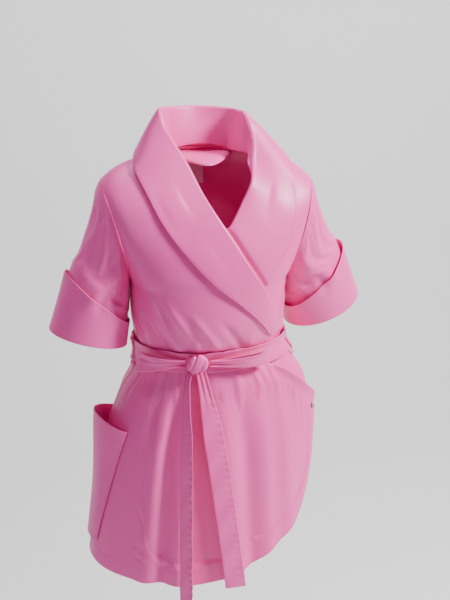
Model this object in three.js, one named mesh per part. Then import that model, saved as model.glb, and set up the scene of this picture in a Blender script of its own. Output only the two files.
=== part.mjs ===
// A short-sleeved wrap gown with a shawl collar, turned-up cuffs, a tied belt and a hip pocket.
// Millimetres, +Z up. +X is the wearer's left, the front faces -Y, and the origin is at the
// middle of the neck opening, level with the points where the shoulders meet the neck.
import * as THREE from 'three';

// ---- cloth and clearances -------------------------------------------------------------------
const CLOTH = 2.4;             // a made-up panel with its facing and seam allowances
const LAYER_GAP = 0.9;         // air between two layers lying on each other
const SEAM_GAP = 0.8;          // where two panels meet edge to edge
const LAYER = CLOTH + LAYER_GAP;
const FACING = 1.2;            // one thickness of cloth, for the strips that line an edge
const FACING_LAYER = (CLOTH + FACING) / 2 + LAYER_GAP;

// ---- heights along the body -----------------------------------------------------------------
const UNDERARM_Z = -237;
const WAIST_Z = -385;
const HEM_Z = -850;            // lowest point the side seams are cut to
const NECK_HALF = 76;          // neck point to centre
const NAPE_RISE = 24;          // the back neck stands higher than the neck points
const NECK_DIP = 0.075;        // share of the back armhole that the neckline dips by
const OVER_NECK = 2;           // the over front starts this far outside the neck point,
const UNDER_NECK = 9;          // and the under front this far, to clear its collar's seam
const SHOULDER_BOW = 2.6;      // how level the shoulder runs before it drops to the sleeve

// ---- girth: half widths (right, left) and depths (front, back) at stations ---------------------
// station: share of the way underarm to waist (first group) or waist to hem (second group)
const BODICE_GIRTH = [
  { at: 0.00, right: 152, left: 160, front: 132, back: 108 },
  { at: 0.43, right: 150, left: 154, front: 134, back: 105 },
  { at: 0.73, right: 145, left: 150, front: 124, back: 98 },
];
const SKIRT_GIRTH = [
  { at: 0.00, right: 138, left: 156, front: 106, back: 90 },
  { at: 0.086, right: 147, left: 181, front: 112, back: 102 },
  { at: 0.183, right: 172, left: 206, front: 122, back: 115 },
  { at: 0.376, right: 204, left: 218, front: 138, back: 130 },
  { at: 0.677, right: 230, left: 211, front: 152, back: 142 },
  { at: 1.00, right: 252, left: 194, front: 165, back: 150 },
];

// ---- sleeves ----------------------------------------------------------------------------------
const ARMHOLE_DEPTH = 62;      // half the armhole, front to back
const RIGHT_ARM = {
  side: -1, tipX: 204, tipZ: -47, underX: BODICE_GIRTH[0].right,
  length: 206, out: 58, forward: -12, cuffHalf: 74.5, cuffTilt: 15, tilt: 0,
};
const LEFT_ARM = {
  side: 1, tipX: 210, tipZ: -55, underX: BODICE_GIRTH[0].left,
  length: 192, out: 70, forward: 50, cuffHalf: 79, cuffTilt: 21.5, tilt: 12,
};
const SLEEVE_SET_IN = CLOTH + 0.6;   // the sleeve head starts this far outside the armhole
const CUFF_DEPTH = 96;
const CUFF_DEPTH_HALF = 64;    // half the cuff, front to back
const CUFF_STAND = 7;          // the upper rim of the turned-up cuff stands off the sleeve

// ---- collar -------------------------------------------------------------------------------------
const COLLAR_FOLD = 4.2;       // radius of the soft fold at the roll line
const COLLAR_BACK_RISE = 78;   // roll line above the neck points at centre back
const SEAM_INSET = 14;         // roll line to collar seam on the chest

// ---- belt, bow and tails --------------------------------------------------------------------------
const BELT_WIDTH = 50;
const KNOT = { phi: -15, wide: 34, tall: 40, thick: 22, seat: 2.3 };
const BOW_STRAP = 1.8;
const RIGHT_BOW = { from: -24, to: -64, knotTall: 28, endTall: 60, gap: 6, drop: -4 };
const LEFT_BOW = { from: -6, to: 40, knotTall: 28, endTall: 50, gap: 6, drop: 3 };
const TAIL_STRAP = 2.0;
const TAIL_GATHER = 0.5;       // share of its width that a tail has where it leaves the knot
const TAIL_REST = 12;          // the tails hang this far in front of the skirt's middle surface
const FRONT_TAIL = { topX: -33, endX: 20, endZ: -848, width: 42, sweep: 0.85 };
const BACK_TAIL = { topX: -46.2, endX: -78, endZ: -905, width: 34, turn: 55, sweep: 0.3 };
const CARRIER = { width: 18, overhang: 11, strap: 1.6 };

// ---- overlap: the loose part of the right front below the belt ------------------------------------
const EDGE_STAND = 1.4;        // the sewn edge of the over front stands this much higher
const HINGE_X = 100;           // the overlap starts to lift at this distance to the wearer's left
const FLAP_HINGE = 30;         // which is about this many degrees round from the front
const FLAP_EDGE = 84;          // degrees round to its free edge
const FLAP_STAND = 4.2;        // the snap holds the overlap this much further off the underlap
const FLAP_TOP_Z = WAIST_Z - BELT_WIDTH / 2 - 6;
const FACING_WIDTH_DEG = 12;
const UNDER_FACING_TOP = -514;
const SNAP = { phi: 72, z: -528, cap: 13, capTall: 2.4, socket: 11, stud: 9, foot: 11, pin: 5 };

// ---- pocket on the right hip -------------------------------------------------------------------------
const POCKET = { mouthZ: -524, bottomZ: -790, gape: 34, mouthFront: -58, mouthBack: -118,
  bottomFront: -76, bottomBack: -128, facing: 28, frontDrop: 13 };

// ---- inside the back neck ------------------------------------------------------------------------------
const LOOP = { wide: 44, tall: 26, strap: 1.8, tape: 6 };
const LABEL = { wide: 30, tall: 44, thick: 1.0 };

const RAD = Math.PI / 180;
const lerp = (a, b, t) => a + (b - a) * t;
const clamp = (x, lo, hi) => Math.min(hi, Math.max(lo, x));
const smooth = (t) => { const c = clamp(t, 0, 1); return c * c * (3 - 2 * c); };
const vec = (x, y, z) => new THREE.Vector3(x, y, z);

// A smooth curve through (x, y) pairs with no overshoot, held level beyond its ends.
function table(pairs) {
  const points = [...pairs].sort((p, q) => p[0] - q[0]);
  const chord = (i) => (points[i + 1][1] - points[i][1]) / (points[i + 1][0] - points[i][0]);
  const slope = points.map((_, i) => {
    if (i === 0 || i === points.length - 1) return chord(i === 0 ? 0 : i - 1);
    const before = chord(i - 1);
    const after = chord(i);
    return before * after <= 0 ? 0 : (2 * before * after) / (before + after);
  });
  return (x) => {
    if (x <= points[0][0]) return points[0][1];
    if (x >= points.at(-1)[0]) return points.at(-1)[1];
    const i = points.findIndex((p, k) => x >= p[0] && x <= points[k + 1][0]);
    const span = points[i + 1][0] - points[i][0];
    const t = (x - points[i][0]) / span;
    const t2 = t * t;
    const t3 = t2 * t;
    return (2 * t3 - 3 * t2 + 1) * points[i][1] + (t3 - 2 * t2 + t) * span * slope[i]
      + (3 * t2 - 2 * t3) * points[i + 1][1] + (t3 - t2) * span * slope[i + 1];
  };
}

// ---- the body surface ----------------------------------------------------------------------------------
const stationZ = [
  ...BODICE_GIRTH.map((g) => [lerp(UNDERARM_Z, WAIST_Z, g.at), g]),
  ...SKIRT_GIRTH.map((g) => [lerp(WAIST_Z, HEM_Z, g.at), g]),
];
const girth = Object.fromEntries(['right', 'left', 'front', 'back'].map(
  (key) => [key, table(stationZ.map(([z, g]) => [z, g[key]]))]));

// The front and back fall from the chest to the shoulder line; v runs 0 at the underarm to 1.
const frontDepth = table([[0, girth.front(UNDERARM_Z)], [0.14, 132], [0.35, 124], [0.6, 93], [0.8, 48], [0.92, 20], [1, 0]]);
const backDepth = table([[0, girth.back(UNDERARM_Z)], [0.14, 108.5], [0.35, 109], [0.6, 102], [0.8, 84], [0.92, 56], [1, 0]]);

function armAngle(v) {
  return Math.PI * (1 - v);
}

function armX(arm, v) {
  return lerp(arm.underX, arm.tipX, (1 + Math.cos(armAngle(v))) / 2);
}

function armZ(arm, v) {
  return lerp(UNDERARM_Z, arm.tipZ, (1 + Math.cos(armAngle(v))) / 2);
}

function shoulderZ(x) {
  const arm = x < 0 ? RIGHT_ARM : LEFT_ARM;
  return arm.tipZ * clamp((Math.abs(x) - NECK_HALF) / (arm.tipX - NECK_HALF), 0, 1) ** SHOULDER_BOW;
}

// height h: below zero it is millimetres under the underarm, above zero it is v.
const heightOf = (z) => z - UNDERARM_Z;

function bodyPoint(phi, h) {
  const s = Math.sin(phi * RAD);
  const c = Math.cos(phi * RAD);
  const toLeft = (1 + s) / 2;
  if (h <= 0) {
    const z = UNDERARM_Z + h;
    const wide = lerp(girth.right(z), girth.left(z), toLeft);
    return vec(wide * s, -(c > 0 ? girth.front(z) : girth.back(z)) * c, z);
  }
  const wide = lerp(armX(RIGHT_ARM, h), armX(LEFT_ARM, h), toLeft);
  const atArm = ARMHOLE_DEPTH * Math.sin(armAngle(h));
  const depth = c > 0 ? frontDepth(h) : backDepth(h);
  const x = wide * s;
  const edgeZ = lerp(armZ(RIGHT_ARM, h), armZ(LEFT_ARM, h), toLeft);
  const tip = lerp(RIGHT_ARM.tipZ, LEFT_ARM.tipZ, toLeft);
  const nape = c < 0 ? NAPE_RISE * smooth((1 - Math.abs(x) / NECK_HALF) * 1.6) : 0;
  const rise = (shoulderZ(x) - tip + nape) * h * h;
  const y = (atArm + (depth - atArm) * Math.abs(c)) * (c > 0 ? -1 : 1);
  return vec(x, y, edgeZ + rise);
}

function bodyNormal(phi, h) {
  const dPhi = 0.5;
  const dH = h > 0 ? 0.004 : 1;
  const lo = h > 0 ? Math.max(h - dH, 0) : h - dH;
  const hi = h > 0 ? Math.min(h + dH, 1) : Math.min(h + dH, 0);
  const across = bodyPoint(phi + dPhi, h).sub(bodyPoint(phi - dPhi, h));
  const up = bodyPoint(phi, hi).sub(bodyPoint(phi, lo));
  return across.cross(up).normalize();
}

const onBody = (phi, h, off) => bodyPoint(phi, h).addScaledVector(bodyNormal(phi, h), off);
const onBodyZ = (phi, z, off) => onBody(phi, heightOf(z), off);

// The point of the front surface with a given x and z.
function onFront(x, z, off) {
  let phi = 0;
  let h = Math.min(heightOf(z), 0);
  for (let i = 0; i < 40; i += 1) {
    const p = bodyPoint(phi, h);
    phi = clamp(phi + (x - p.x) * 0.3, -89, 89);
    h = z > UNDERARM_Z ? clamp(h + (z - p.z) / 260, 0, 1) : heightOf(z);
  }
  return onBody(phi, h, off);
}

// ---- solids from sheets -------------------------------------------------------------------------------
function closedMesh(corners, faces) {
  const geometry = new THREE.BufferGeometry();
  geometry.setAttribute('position', new THREE.Float32BufferAttribute(corners.flatMap((p) => p.toArray()), 3));
  let volume = 0;
  for (const [a, b, c] of faces) volume += corners[a].dot(vec(0, 0, 0).crossVectors(corners[b], corners[c]));
  geometry.setIndex(faces.flatMap(([a, b, c]) => (volume > 0 ? [a, b, c] : [a, c, b])));
  geometry.computeVertexNormals();
  return geometry;
}

// rows[v][u] are points of the middle surface; ring closes each row on itself.
function sheet(rows, thickness, ring = false) {
  const nv = rows.length;
  const nu = rows[0].length;
  const at = (v, u) => rows[clamp(v, 0, nv - 1)][ring ? (u + nu) % nu : clamp(u, 0, nu - 1)];
  const side = (sign) => rows.map((row, v) => row.map((p, u) => {
    const across = at(v, u + 1).clone().sub(at(v, u - 1));
    const along = at(v + 1, u).clone().sub(at(v - 1, u));
    return p.clone().addScaledVector(across.cross(along).normalize(), (sign * thickness) / 2);
  })).flat();
  const corners = [...side(1), ...side(-1)];
  const outer = (v, u) => v * nu + (u % nu);
  const inner = (v, u) => nv * nu + outer(v, u);
  const faces = [];
  const quad = (a, b, c, d) => faces.push([a, b, c], [a, c, d]);
  const columns = ring ? nu : nu - 1;
  for (let v = 0; v < nv - 1; v += 1) {
    for (let u = 0; u < columns; u += 1) {
      quad(outer(v, u), outer(v, u + 1), outer(v + 1, u + 1), outer(v + 1, u));
      quad(inner(v, u), inner(v + 1, u), inner(v + 1, u + 1), inner(v, u + 1));
    }
  }
  for (let u = 0; u < columns; u += 1) {
    quad(outer(0, u), inner(0, u), inner(0, u + 1), outer(0, u + 1));
    quad(outer(nv - 1, u), outer(nv - 1, u + 1), inner(nv - 1, u + 1), inner(nv - 1, u));
  }
  if (!ring) {
    for (let v = 0; v < nv - 1; v += 1) {
      quad(outer(v, 0), outer(v + 1, 0), inner(v + 1, 0), inner(v, 0));
      quad(outer(v, nu - 1), inner(v, nu - 1), inner(v + 1, nu - 1), outer(v + 1, nu - 1));
    }
  }
  return closedMesh(corners, faces);
}

const steps = (n, f) => Array.from({ length: n + 1 }, (_, i) => f(i / n));

// ---- outlines of the panels ------------------------------------------------------------------------------
const rightHem = table([[-90, -828], [-45, -842], [-20, -846], [0, -836], [14, -820], [FLAP_HINGE, -792]]);
const flapHem = table([[FLAP_HINGE, -792], [51, -749], [61, -708], [70, -668], [78, -628], [FLAP_EDGE, -575]]);
const flapTop = table([[FLAP_HINGE, FLAP_TOP_Z], [46, FLAP_TOP_Z - 4], [60, -466], [75, -500], [FLAP_EDGE, -512]]);
const underHem = table([[-55, -640], [-50, -710], [-42, -770], [-30, -800], [0, -805], [30, -770],
  [51, -730], [61, -702], [75, -712], [90, -727]]);
const backHem = table([[90, -727], [110, -752], [150, -795], [180, -805], [210, -815], [250, -822], [270, -828]]);

// The right front's roll line on the chest: x at each height.
const rollX = table([[30, -65], [-10, -42], [-58, -21], [-100, 0], [-143, 27], [-196, 59], [-243, 88],
  [-290, 108], [-335, 126], [WAIST_Z, 136]]);
// The left front's roll line mirrors it below the crossing and stands wider at the neck.
const leftRollX = table([[-12, 88], [-48, 73], [-80, 56], [-106, 38], [-122, 26], [-160, -2], [-200, -32],
  [-243, -64], [-290, -92], [-335, -112], [WAIST_Z, -124]]);
const overEdge = (z) => rollX(z) - SEAM_INSET;
const underEdge = (z) => leftRollX(z) + SEAM_INSET;
const edgeX = (z, side) => (side > 0 ? overEdge(z) : underEdge(z));

// Columns of a front: evenly spaced to the skirt's edge, then leaning over to the row's own edge.
function frontColumn(from, skirtEdge, edge, u, lean) {
  return lerp(from, skirtEdge, u) + (edge - skirtEdge) * u ** lean;
}

// Angle of a front's free edge on the chest, where the collar is sewn on; side 1 is the over front.
function chestEdge(v, side) {
  let x = 0;
  let phi = 0;
  for (let i = 0; i < 24; i += 1) {
    const reach = lerp(armX(RIGHT_ARM, v), armX(LEFT_ARM, v), 0.5);
    phi = Math.asin(clamp(x / reach, -1, 1)) / RAD;
    const z = bodyPoint(phi, v).z;
    const target = lerp(edgeX(z, side), -side * (NECK_HALF + (side > 0 ? OVER_NECK : UNDER_NECK)), smooth((v - 0.55) / 0.45));
    x = lerp(x, target, 0.5);
  }
  return phi;
}

function bodiceEdge(z, side) {
  const reach = lerp(girth.right(z), girth.left(z), side > 0 ? 0.75 : 0.25);
  return Math.asin(clamp(edgeX(z, side) / reach, -1, 1)) / RAD;
}

// Angle of the front where a line of the overlap's shape crosses the plane x = HINGE_X.
function hingeAngle(z) {
  let phi = FLAP_HINGE;
  for (let i = 0; i < 20; i += 1) {
    const here = z(phi);
    const reach = lerp(girth.right(here), girth.left(here), (1 + Math.sin(phi * RAD)) / 2);
    phi = Math.asin(HINGE_X / reach) / RAD;
  }
  return phi;
}

// Layers share these rows, so that their facets lie parallel.
const HALF_BELT = BELT_WIDTH / 2;
const LOWER_ROWS = [-640, -590, -545, -508, -480, -458, -442, -428];
const BELT_ROWS = [-1, -0.5, 0, 0.5, 1].map((t) => WAIST_Z + t * (HALF_BELT - 0.5));
const BODICE_ROWS = [...BELT_ROWS, -346, -328, -304, -270];
const CHEST_ROWS = [0, 0.16, 0.32, 0.48, 0.63, 0.77, 0.88, 0.955, 0.995];
const overLayer = (phi) => LAYER * smooth((phi + 88) / 28) + EDGE_STAND * smooth(phi / 45);
const seamAngle = (SEAM_GAP / 2 / 150) / RAD;
const BELOW_LEAN = 2.6;        // how late a front's columns lean to the edge, below the underarm
const CHEST_LEAN = 1.25;       // and above it
const UNDER_EDGE = -55;        // degrees round to the underlap's free edge

// Heights of the skirt's rows as functions of the angle: the lowest follow the hem.
function skirtRows(hem, top = FLAP_TOP_Z) {
  const fixed = LOWER_ROWS.filter((z) => z < top - 8);
  const lower = [0, 0.35, 0.7].map((t) => (phi) => heightOf(lerp(hem(phi), Math.max(LOWER_ROWS[0], hem(phi)), t)));
  const level = [...fixed, top].map((z, i) => (phi) => heightOf(
    Math.max(z, lerp(hem(phi), LOWER_ROWS[1], 0.7 + 0.05 * i))));
  return [...lower, ...level];
}

// The back's upper edge dips from the neck points to the nape.
function backNeckline(phi, v) {
  const inside = 1 - (Math.abs(Math.sin(phi * RAD)) * LEFT_ARM.tipX) / NECK_HALF;
  return v - NECK_DIP * smooth(inside * 4) * smooth((v - 0.85) / 0.145);
}

function rightFront() {
  const from = -90 + seamAngle;
  const row = (to, height, lean = BELOW_LEAN) => steps(15, (u) => {
    const phi = frontColumn(from, FLAP_HINGE, to, u, lean);
    return onBody(phi, height(phi), overLayer(phi));
  });
  const skirt = skirtRows(rightHem).map((h) => row(hingeAngle((phi) => UNDERARM_Z + h(phi)) - seamAngle, h));
  const notch = [0.2, 0.4, 0.6, 0.8].map((t) => {
    const z = lerp(FLAP_TOP_Z, BODICE_ROWS[0], t);
    return row(lerp(hingeAngle(() => FLAP_TOP_Z) - seamAngle, bodiceEdge(BODICE_ROWS[0], 1), t), () => heightOf(z));
  });
  const bodice = BODICE_ROWS.map((z) => row(bodiceEdge(z, 1), () => heightOf(z)));
  const chest = CHEST_ROWS.map((v) => row(chestEdge(v, 1), () => v, CHEST_LEAN));
  return sheet([...skirt, ...notch, ...bodice, ...chest], CLOTH);
}

function leftFront() {
  const from = 90 - seamAngle;
  const row = (to, height, lean = BELOW_LEAN) => steps(14, (u) => {
    const phi = frontColumn(from, UNDER_EDGE, to, u, lean);
    return onBody(phi, height(phi), 0);
  });
  const skirt = skirtRows(underHem).map((z) => row(UNDER_EDGE, z));
  const bodice = BODICE_ROWS.map((z) => row(Math.max(bodiceEdge(z, -1), UNDER_EDGE), () => heightOf(z)));
  const chest = CHEST_ROWS.map((v) => row(chestEdge(v, -1), () => v, CHEST_LEAN));
  return sheet([...skirt, ...bodice, ...chest], CLOTH);
}

function backPanel() {
  const row = (height) => steps(18, (u) => {
    const phi = lerp(90 + seamAngle, 270 - seamAngle, u);
    return onBody(phi, height(phi), 0);
  });
  const skirt = skirtRows(backHem).map((z) => row(z));
  const bodice = BODICE_ROWS.map((z) => row(() => heightOf(z)));
  const chest = CHEST_ROWS.map((v) => row((phi) => backNeckline(phi, v)));
  return sheet([...skirt, ...bodice, ...chest], CLOTH);
}

// ---- the loose overlap, its facing and the snap -------------------------------------------------------------
const flapLayer = (phi) => overLayer(phi) + FLAP_STAND * smooth((phi - FLAP_HINGE) / 30);

function overlapFlap() {
  const rows = steps(8, (v) => {
    const z = (phi) => lerp(flapHem(phi), flapTop(phi), v);
    return steps(8, (u) => {
      const phi = lerp(hingeAngle(z) + seamAngle, FLAP_EDGE, u);
      return onBodyZ(phi, z(phi), flapLayer(phi));
    });
  });
  return sheet(rows, CLOTH);
}

function overlapFacing() {
  const rows = steps(6, (v) => steps(2, (u) => {
    const phi = lerp(FLAP_EDGE - FACING_WIDTH_DEG, FLAP_EDGE, u);
    const low = flapHem(phi) + 1;
    const high = SNAP.z - SNAP.socket;
    return onBodyZ(phi, lerp(low, high, v), flapLayer(phi) - FACING_LAYER);
  }));
  return sheet(rows, FACING);
}

function underlapFacing() {
  const rows = skirtRows((phi) => underHem(phi) + 2, UNDER_FACING_TOP).map((z) => steps(2, (u) => {
    const phi = lerp(UNDER_EDGE + 0.5, UNDER_EDGE + FACING_WIDTH_DEG, u);
    return onBody(phi, z(phi), -FACING_LAYER - 0.3);
  }));
  return sheet(rows, FACING);
}

// A button shape turned about the body's normal; profile is [radius, height] pairs from the axis.
function stud(profile, phi, z, off) {
  const geometry = new THREE.LatheGeometry(profile.map(([r, h]) => new THREE.Vector2(r, h)), 16);
  const normal = bodyNormal(phi, heightOf(z));
  const place = onBodyZ(phi, z, off);
  const turn = new THREE.Quaternion().setFromUnitVectors(vec(0, 1, 0), normal);
  return { geometry, position: place, quaternion: turn };
}

const HALF = CLOTH / 2;
const REST = 0.35;             // a small part's clearance to the cloth it is set on
const REST_INSIDE = 1.35;      // the same on the hollow side of a panel
const capProfile = [[0, 0], [SNAP.cap / 2, 0], [SNAP.cap / 2, 0.8], [SNAP.cap / 2 - 1, 1.9],
  [SNAP.cap / 4, SNAP.capTall], [0, SNAP.capTall]];
const socketTall = 2.0;
const socketProfile = [[SNAP.pin / 2 + 0.3, 0], [SNAP.socket / 2, 0], [SNAP.socket / 2, socketTall],
  [0, socketTall], [0, socketTall - 0.6], [SNAP.pin / 2 + 0.3, socketTall - 0.6], [SNAP.pin / 2 + 0.3, 0]];
const studProfile = [[0, 0], [SNAP.stud / 2, 0], [SNAP.stud / 2, 0.9], [SNAP.pin / 2, 0.9],
  [SNAP.pin / 2, 1.9], [0, 1.9]];
const footProfile = [[0, 0], [SNAP.foot / 2, 0], [SNAP.foot / 2, 0.8], [0, 0.8]];

// ---- sleeves and cuffs --------------------------------------------------------------------------------------
// The sleeve is a tube of ovals from the armhole (s = 0) to the folded lower edge (s = 1).
function sleeveOval(arm, s) {
  const side = arm.side;
  const head = {
    centre: vec(side * (arm.tipX + arm.underX) / 2, 0, (arm.tipZ + UNDERARM_Z) / 2),
    toTip: vec(side * (arm.tipX - arm.underX) / 2, 0, (arm.tipZ - UNDERARM_Z) / 2),
    toBack: vec(0, ARMHOLE_DEPTH, 0),
  };
  const outward = vec(side * head.toTip.z, 0, -side * head.toTip.x).normalize();
  head.centre.addScaledVector(outward, SLEEVE_SET_IN);
  const tilt = arm.cuffTilt * RAD;
  const foot = {
    centre: head.centre.clone().add(vec(side * arm.out, arm.forward, -arm.length)),
    toTip: vec(side * arm.cuffHalf * Math.cos(tilt), 0, arm.cuffHalf * Math.sin(tilt)),
    toBack: vec(-side * Math.sin(tilt) * CUFF_DEPTH_HALF * Math.sin(arm.tilt * RAD),
      CUFF_DEPTH_HALF * Math.cos(arm.tilt * RAD), CUFF_DEPTH_HALF * Math.sin(arm.tilt * RAD)),
  };
  return {
    centre: head.centre.lerp(foot.centre, s),
    toTip: head.toTip.lerp(foot.toTip, s),
    toBack: head.toBack.lerp(foot.toBack, s),
  };
}

function sleevePoint(arm, angle, s, off) {
  const { centre, toTip, toBack } = sleeveOval(arm, s);
  const grow = (v) => v.clone().multiplyScalar((v.length() + off) / v.length());
  return centre.addScaledVector(grow(toTip), Math.cos(angle)).addScaledVector(grow(toBack), Math.sin(angle));
}

function sleeve(arm) {
  return sheet(steps(8, (s) => Array.from({ length: 20 },
    (_, i) => sleevePoint(arm, (i / 20) * 2 * Math.PI, s, 0))), CLOTH, true);
}

function cuff(arm) {
  const run = Math.hypot(arm.out, arm.forward, arm.length) + 40;
  const start = 1 - CUFF_DEPTH / run;
  return sheet(steps(4, (t) => Array.from({ length: 20 }, (_, i) => {
    const stand = LAYER + CUFF_STAND * (1 - t) ** 1.4;
    return sleevePoint(arm, (i / 20) * 2 * Math.PI, lerp(start, 1, t), stand);
  })), CLOTH, true);
}

// ---- collar ---------------------------------------------------------------------------------------------------
// Sections run from centre back to the front end. Each has its seam, roll and outer edge.
const ON_CHEST = 2 * LAYER + EDGE_STAND + 1;
const chest = (x, z, off = ON_CHEST) => onFront(x, z, off);
const onRoll = (x, z, base) => onFront(x, z, base + COLLAR_FOLD + 1);
const neckSeam = (phi) => onBody(phi, backNeckline(phi, CHEST_ROWS.at(-1)), 0).add(vec(0, 0, 2 * CLOTH));
const RIGHT_COLLAR = [
  { seam: neckSeam(180.4), roll: vec(-1, 82, COLLAR_BACK_RISE), edge: vec(-1, 112, -20) },
  { seam: neckSeam(193), roll: vec(-52, 62, 81), edge: vec(-80, 94, -12) },
  { seam: neckSeam(197), roll: vec(-74, 38, 84), edge: vec(-118, 58, 5) },
  { seam: neckSeam(200), roll: vec(-84, 10, 85), edge: vec(-137, 8, 2) },
  { seam: vec(-80, -10, 6), roll: vec(-79, -8, 56), edge: chest(-142, -22) },
  { seam: vec(-72, -24, -6), roll: vec(-64, -26, 29), edge: chest(-137, -38) },
  { seam: vec(-58, -46, -26), roll: vec(-42, -46, -10), edge: chest(-124, -66) },
  { roll: vec(-21, -76, -58), edge: chest(-108, -100) },
  { roll: onRoll(0, -100, LAYER), edge: chest(-84, -140) },
  { roll: onRoll(27, -143, LAYER), edge: chest(-48, -186) },
  { roll: onRoll(59, -196, LAYER), edge: chest(-8, -228) },
  { roll: onRoll(75, -221, LAYER), edge: chest(14, -248) },
  { roll: onRoll(88, -243, LAYER), edge: chest(38, -268) },
  { roll: onRoll(106, -288, LAYER), edge: chest(76, -306) },
  { roll: onRoll(120, -326, LAYER), edge: chest(100, -338) },
];
const LEFT_COLLAR = [
  { seam: neckSeam(179.6), roll: vec(1, 82, COLLAR_BACK_RISE), edge: vec(1, 112, -20) },
  { seam: neckSeam(167), roll: vec(58, 64, 75), edge: vec(94, 94, -12) },
  { seam: neckSeam(163), roll: vec(76, 40, 73), edge: vec(138, 60, 2) },
  { seam: neckSeam(160), roll: vec(83, 12, 70), edge: vec(161, 8, -4) },
  { seam: vec(84, -13, 8), roll: vec(92, -14, 26), edge: chest(164, -40) },
  { seam: vec(77, -36, -16), roll: vec(87, -40, -12), edge: chest(164, -78) },
  { roll: vec(76, -71, -45), edge: chest(157, -118) },
  { roll: onRoll(56, -80, 0), edge: chest(143, -165) },
  { roll: onRoll(38, -106, 0), edge: chest(118, -202) },
  { roll: onRoll(26, -122, 0), edge: chest(96, -232) },
];

// Moves a point forward where it would lie inside the body's front, so that it rests on it.
function clearOfFront(p, off) {
  if (p.z > shoulderZ(p.x) - 14) return p;
  const resting = onFront(p.x, p.z, off);
  return p.y > resting.y ? resting : p;
}

function collarSection({ seam, roll, edge }, base) {
  const toEdge = edge.clone().sub(roll).normalize();
  const inset = SEAM_INSET - 2 * CLOTH;
  const hidden = seam ?? onFront(roll.x + toEdge.x * inset, roll.z + toEdge.z * inset, base + 0.8);
  const toSeam = hidden.clone().sub(roll).normalize();
  const into = toEdge.clone().add(toSeam).normalize();
  const out = toEdge.clone().addScaledVector(into, -toEdge.dot(into)).normalize();
  const fold = (angle) => roll.clone()
    .addScaledVector(into, COLLAR_FOLD * (1 - Math.cos(angle)))
    .addScaledVector(out, COLLAR_FOLD * Math.sin(angle));
  const turn = [-75, -38, 0, 38, 75].map((a) => fold(a * RAD));
  const leg = (from, to, shares) => shares.map((t) => from.clone().lerp(to, t));
  const fall = leg(turn.at(-1), edge, [0.2, 0.45, 0.72]).map((p) => clearOfFront(p, ON_CHEST));
  return [hidden, ...leg(hidden, turn[0], [0.5]), ...turn, ...fall, edge];
}

function collar(sections, base, perSpan) {
  const curve = (key) => new THREE.CatmullRomCurve3(
    sections.map((_, i) => sectionPoints[i][key]), false, 'centripetal');
  const sectionPoints = sections.map((section) => collarSection(section, base));
  const lines = sectionPoints[0].map((_, k) => curve(k));
  const count = (sections.length - 1) * perSpan;
  return sheet(steps(count, (t) => lines.map((line) => line.getPoint(t))), CLOTH);
}

// ---- belt, bow, tails and carriers -----------------------------------------------------------------------------
const beltOff = 2 * LAYER + EDGE_STAND;

function beltBand() {
  return sheet(BELT_ROWS.map((z) => Array.from({ length: 36 },
    (_, i) => onBodyZ(-180 + i * 10, z, beltOff))), CLOTH, true);
}

function beltKnot() {
  const geometry = new THREE.SphereGeometry(0.5, 12, 8);
  const normal = bodyNormal(KNOT.phi, heightOf(WAIST_Z));
  const off = beltOff + HALF + KNOT.seat + KNOT.thick / 2;
  return {
    geometry, position: onBodyZ(KNOT.phi, WAIST_Z, off),
    quaternion: new THREE.Quaternion().setFromUnitVectors(vec(0, -1, 0), normal),
    scale: vec(KNOT.wide, KNOT.thick, KNOT.tall),
  };
}

// A bow loop is the strap turned back on itself, standing on edge, hollow along its width.
function bowLoop(bow) {
  const count = 20;
  return sheet(steps(2, (v) => Array.from({ length: count }, (_, i) => {
    const around = (i / count) * 2 * Math.PI;
    const s = (1 - Math.cos(around)) / 2;
    const half = 2 + bow.gap * Math.sqrt(s) * (0.75 + 0.25 * s);
    const middle = beltOff + HALF + BOW_STRAP / 2 + SEAM_GAP / 2 + bow.gap;
    const tall = lerp(bow.knotTall, bow.endTall, s);
    const z = WAIST_Z + bow.drop * s + tall * (v - 0.5);
    return onBodyZ(lerp(bow.from, bow.to, s), z, middle + half * Math.sin(around));
  })), BOW_STRAP, true);
}

function tail({ topX, endX, endZ, width, sweep, turn = 0 }) {
  const topZ = WAIST_Z - KNOT.tall / 2 + 1.4;
  const rows = steps(12, (t) => {
    const z = lerp(topZ, endZ, t);
    const x = lerp(topX, endX, t ** sweep);
    const spread = lerp(TAIL_GATHER, 1, smooth(t * 3)) * width;
    const seat = onFront(x, Math.max(z, HEM_Z), TAIL_REST);
    seat.z = z;
    const across = vec(Math.cos(turn * RAD), -Math.sin(turn * RAD), 0);
    return [-0.5, 0, 0.5].map((w) => seat.clone()
      .addScaledVector(across, w * spread)
      .add(vec(0, -Math.sin(turn * RAD) * spread * 0.5, 0)));
  });
  return sheet(rows, TAIL_STRAP);
}

function carrier(phi) {
  const half = BELT_WIDTH / 2;
  const reach = beltOff + HALF + LAYER_GAP + CARRIER.strap / 2;
  const foot = LAYER + HALF + REST + CARRIER.strap / 2;
  const path = [[half + CARRIER.overhang, foot], [half + 4, foot + 1], [half - 2, reach + 1],
    [0, reach + 0.4], [2 - half, reach + 1], [-half - 4, foot + 1], [-half - CARRIER.overhang, foot]];
  return sheet(path.map(([dz, off]) => steps(2, (u) => {
    const spread = (CARRIER.width / girth.left(WAIST_Z)) / RAD;
    return onBodyZ(phi + spread * (u - 0.5), WAIST_Z + dz, off);
  })), CARRIER.strap);
}

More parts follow.
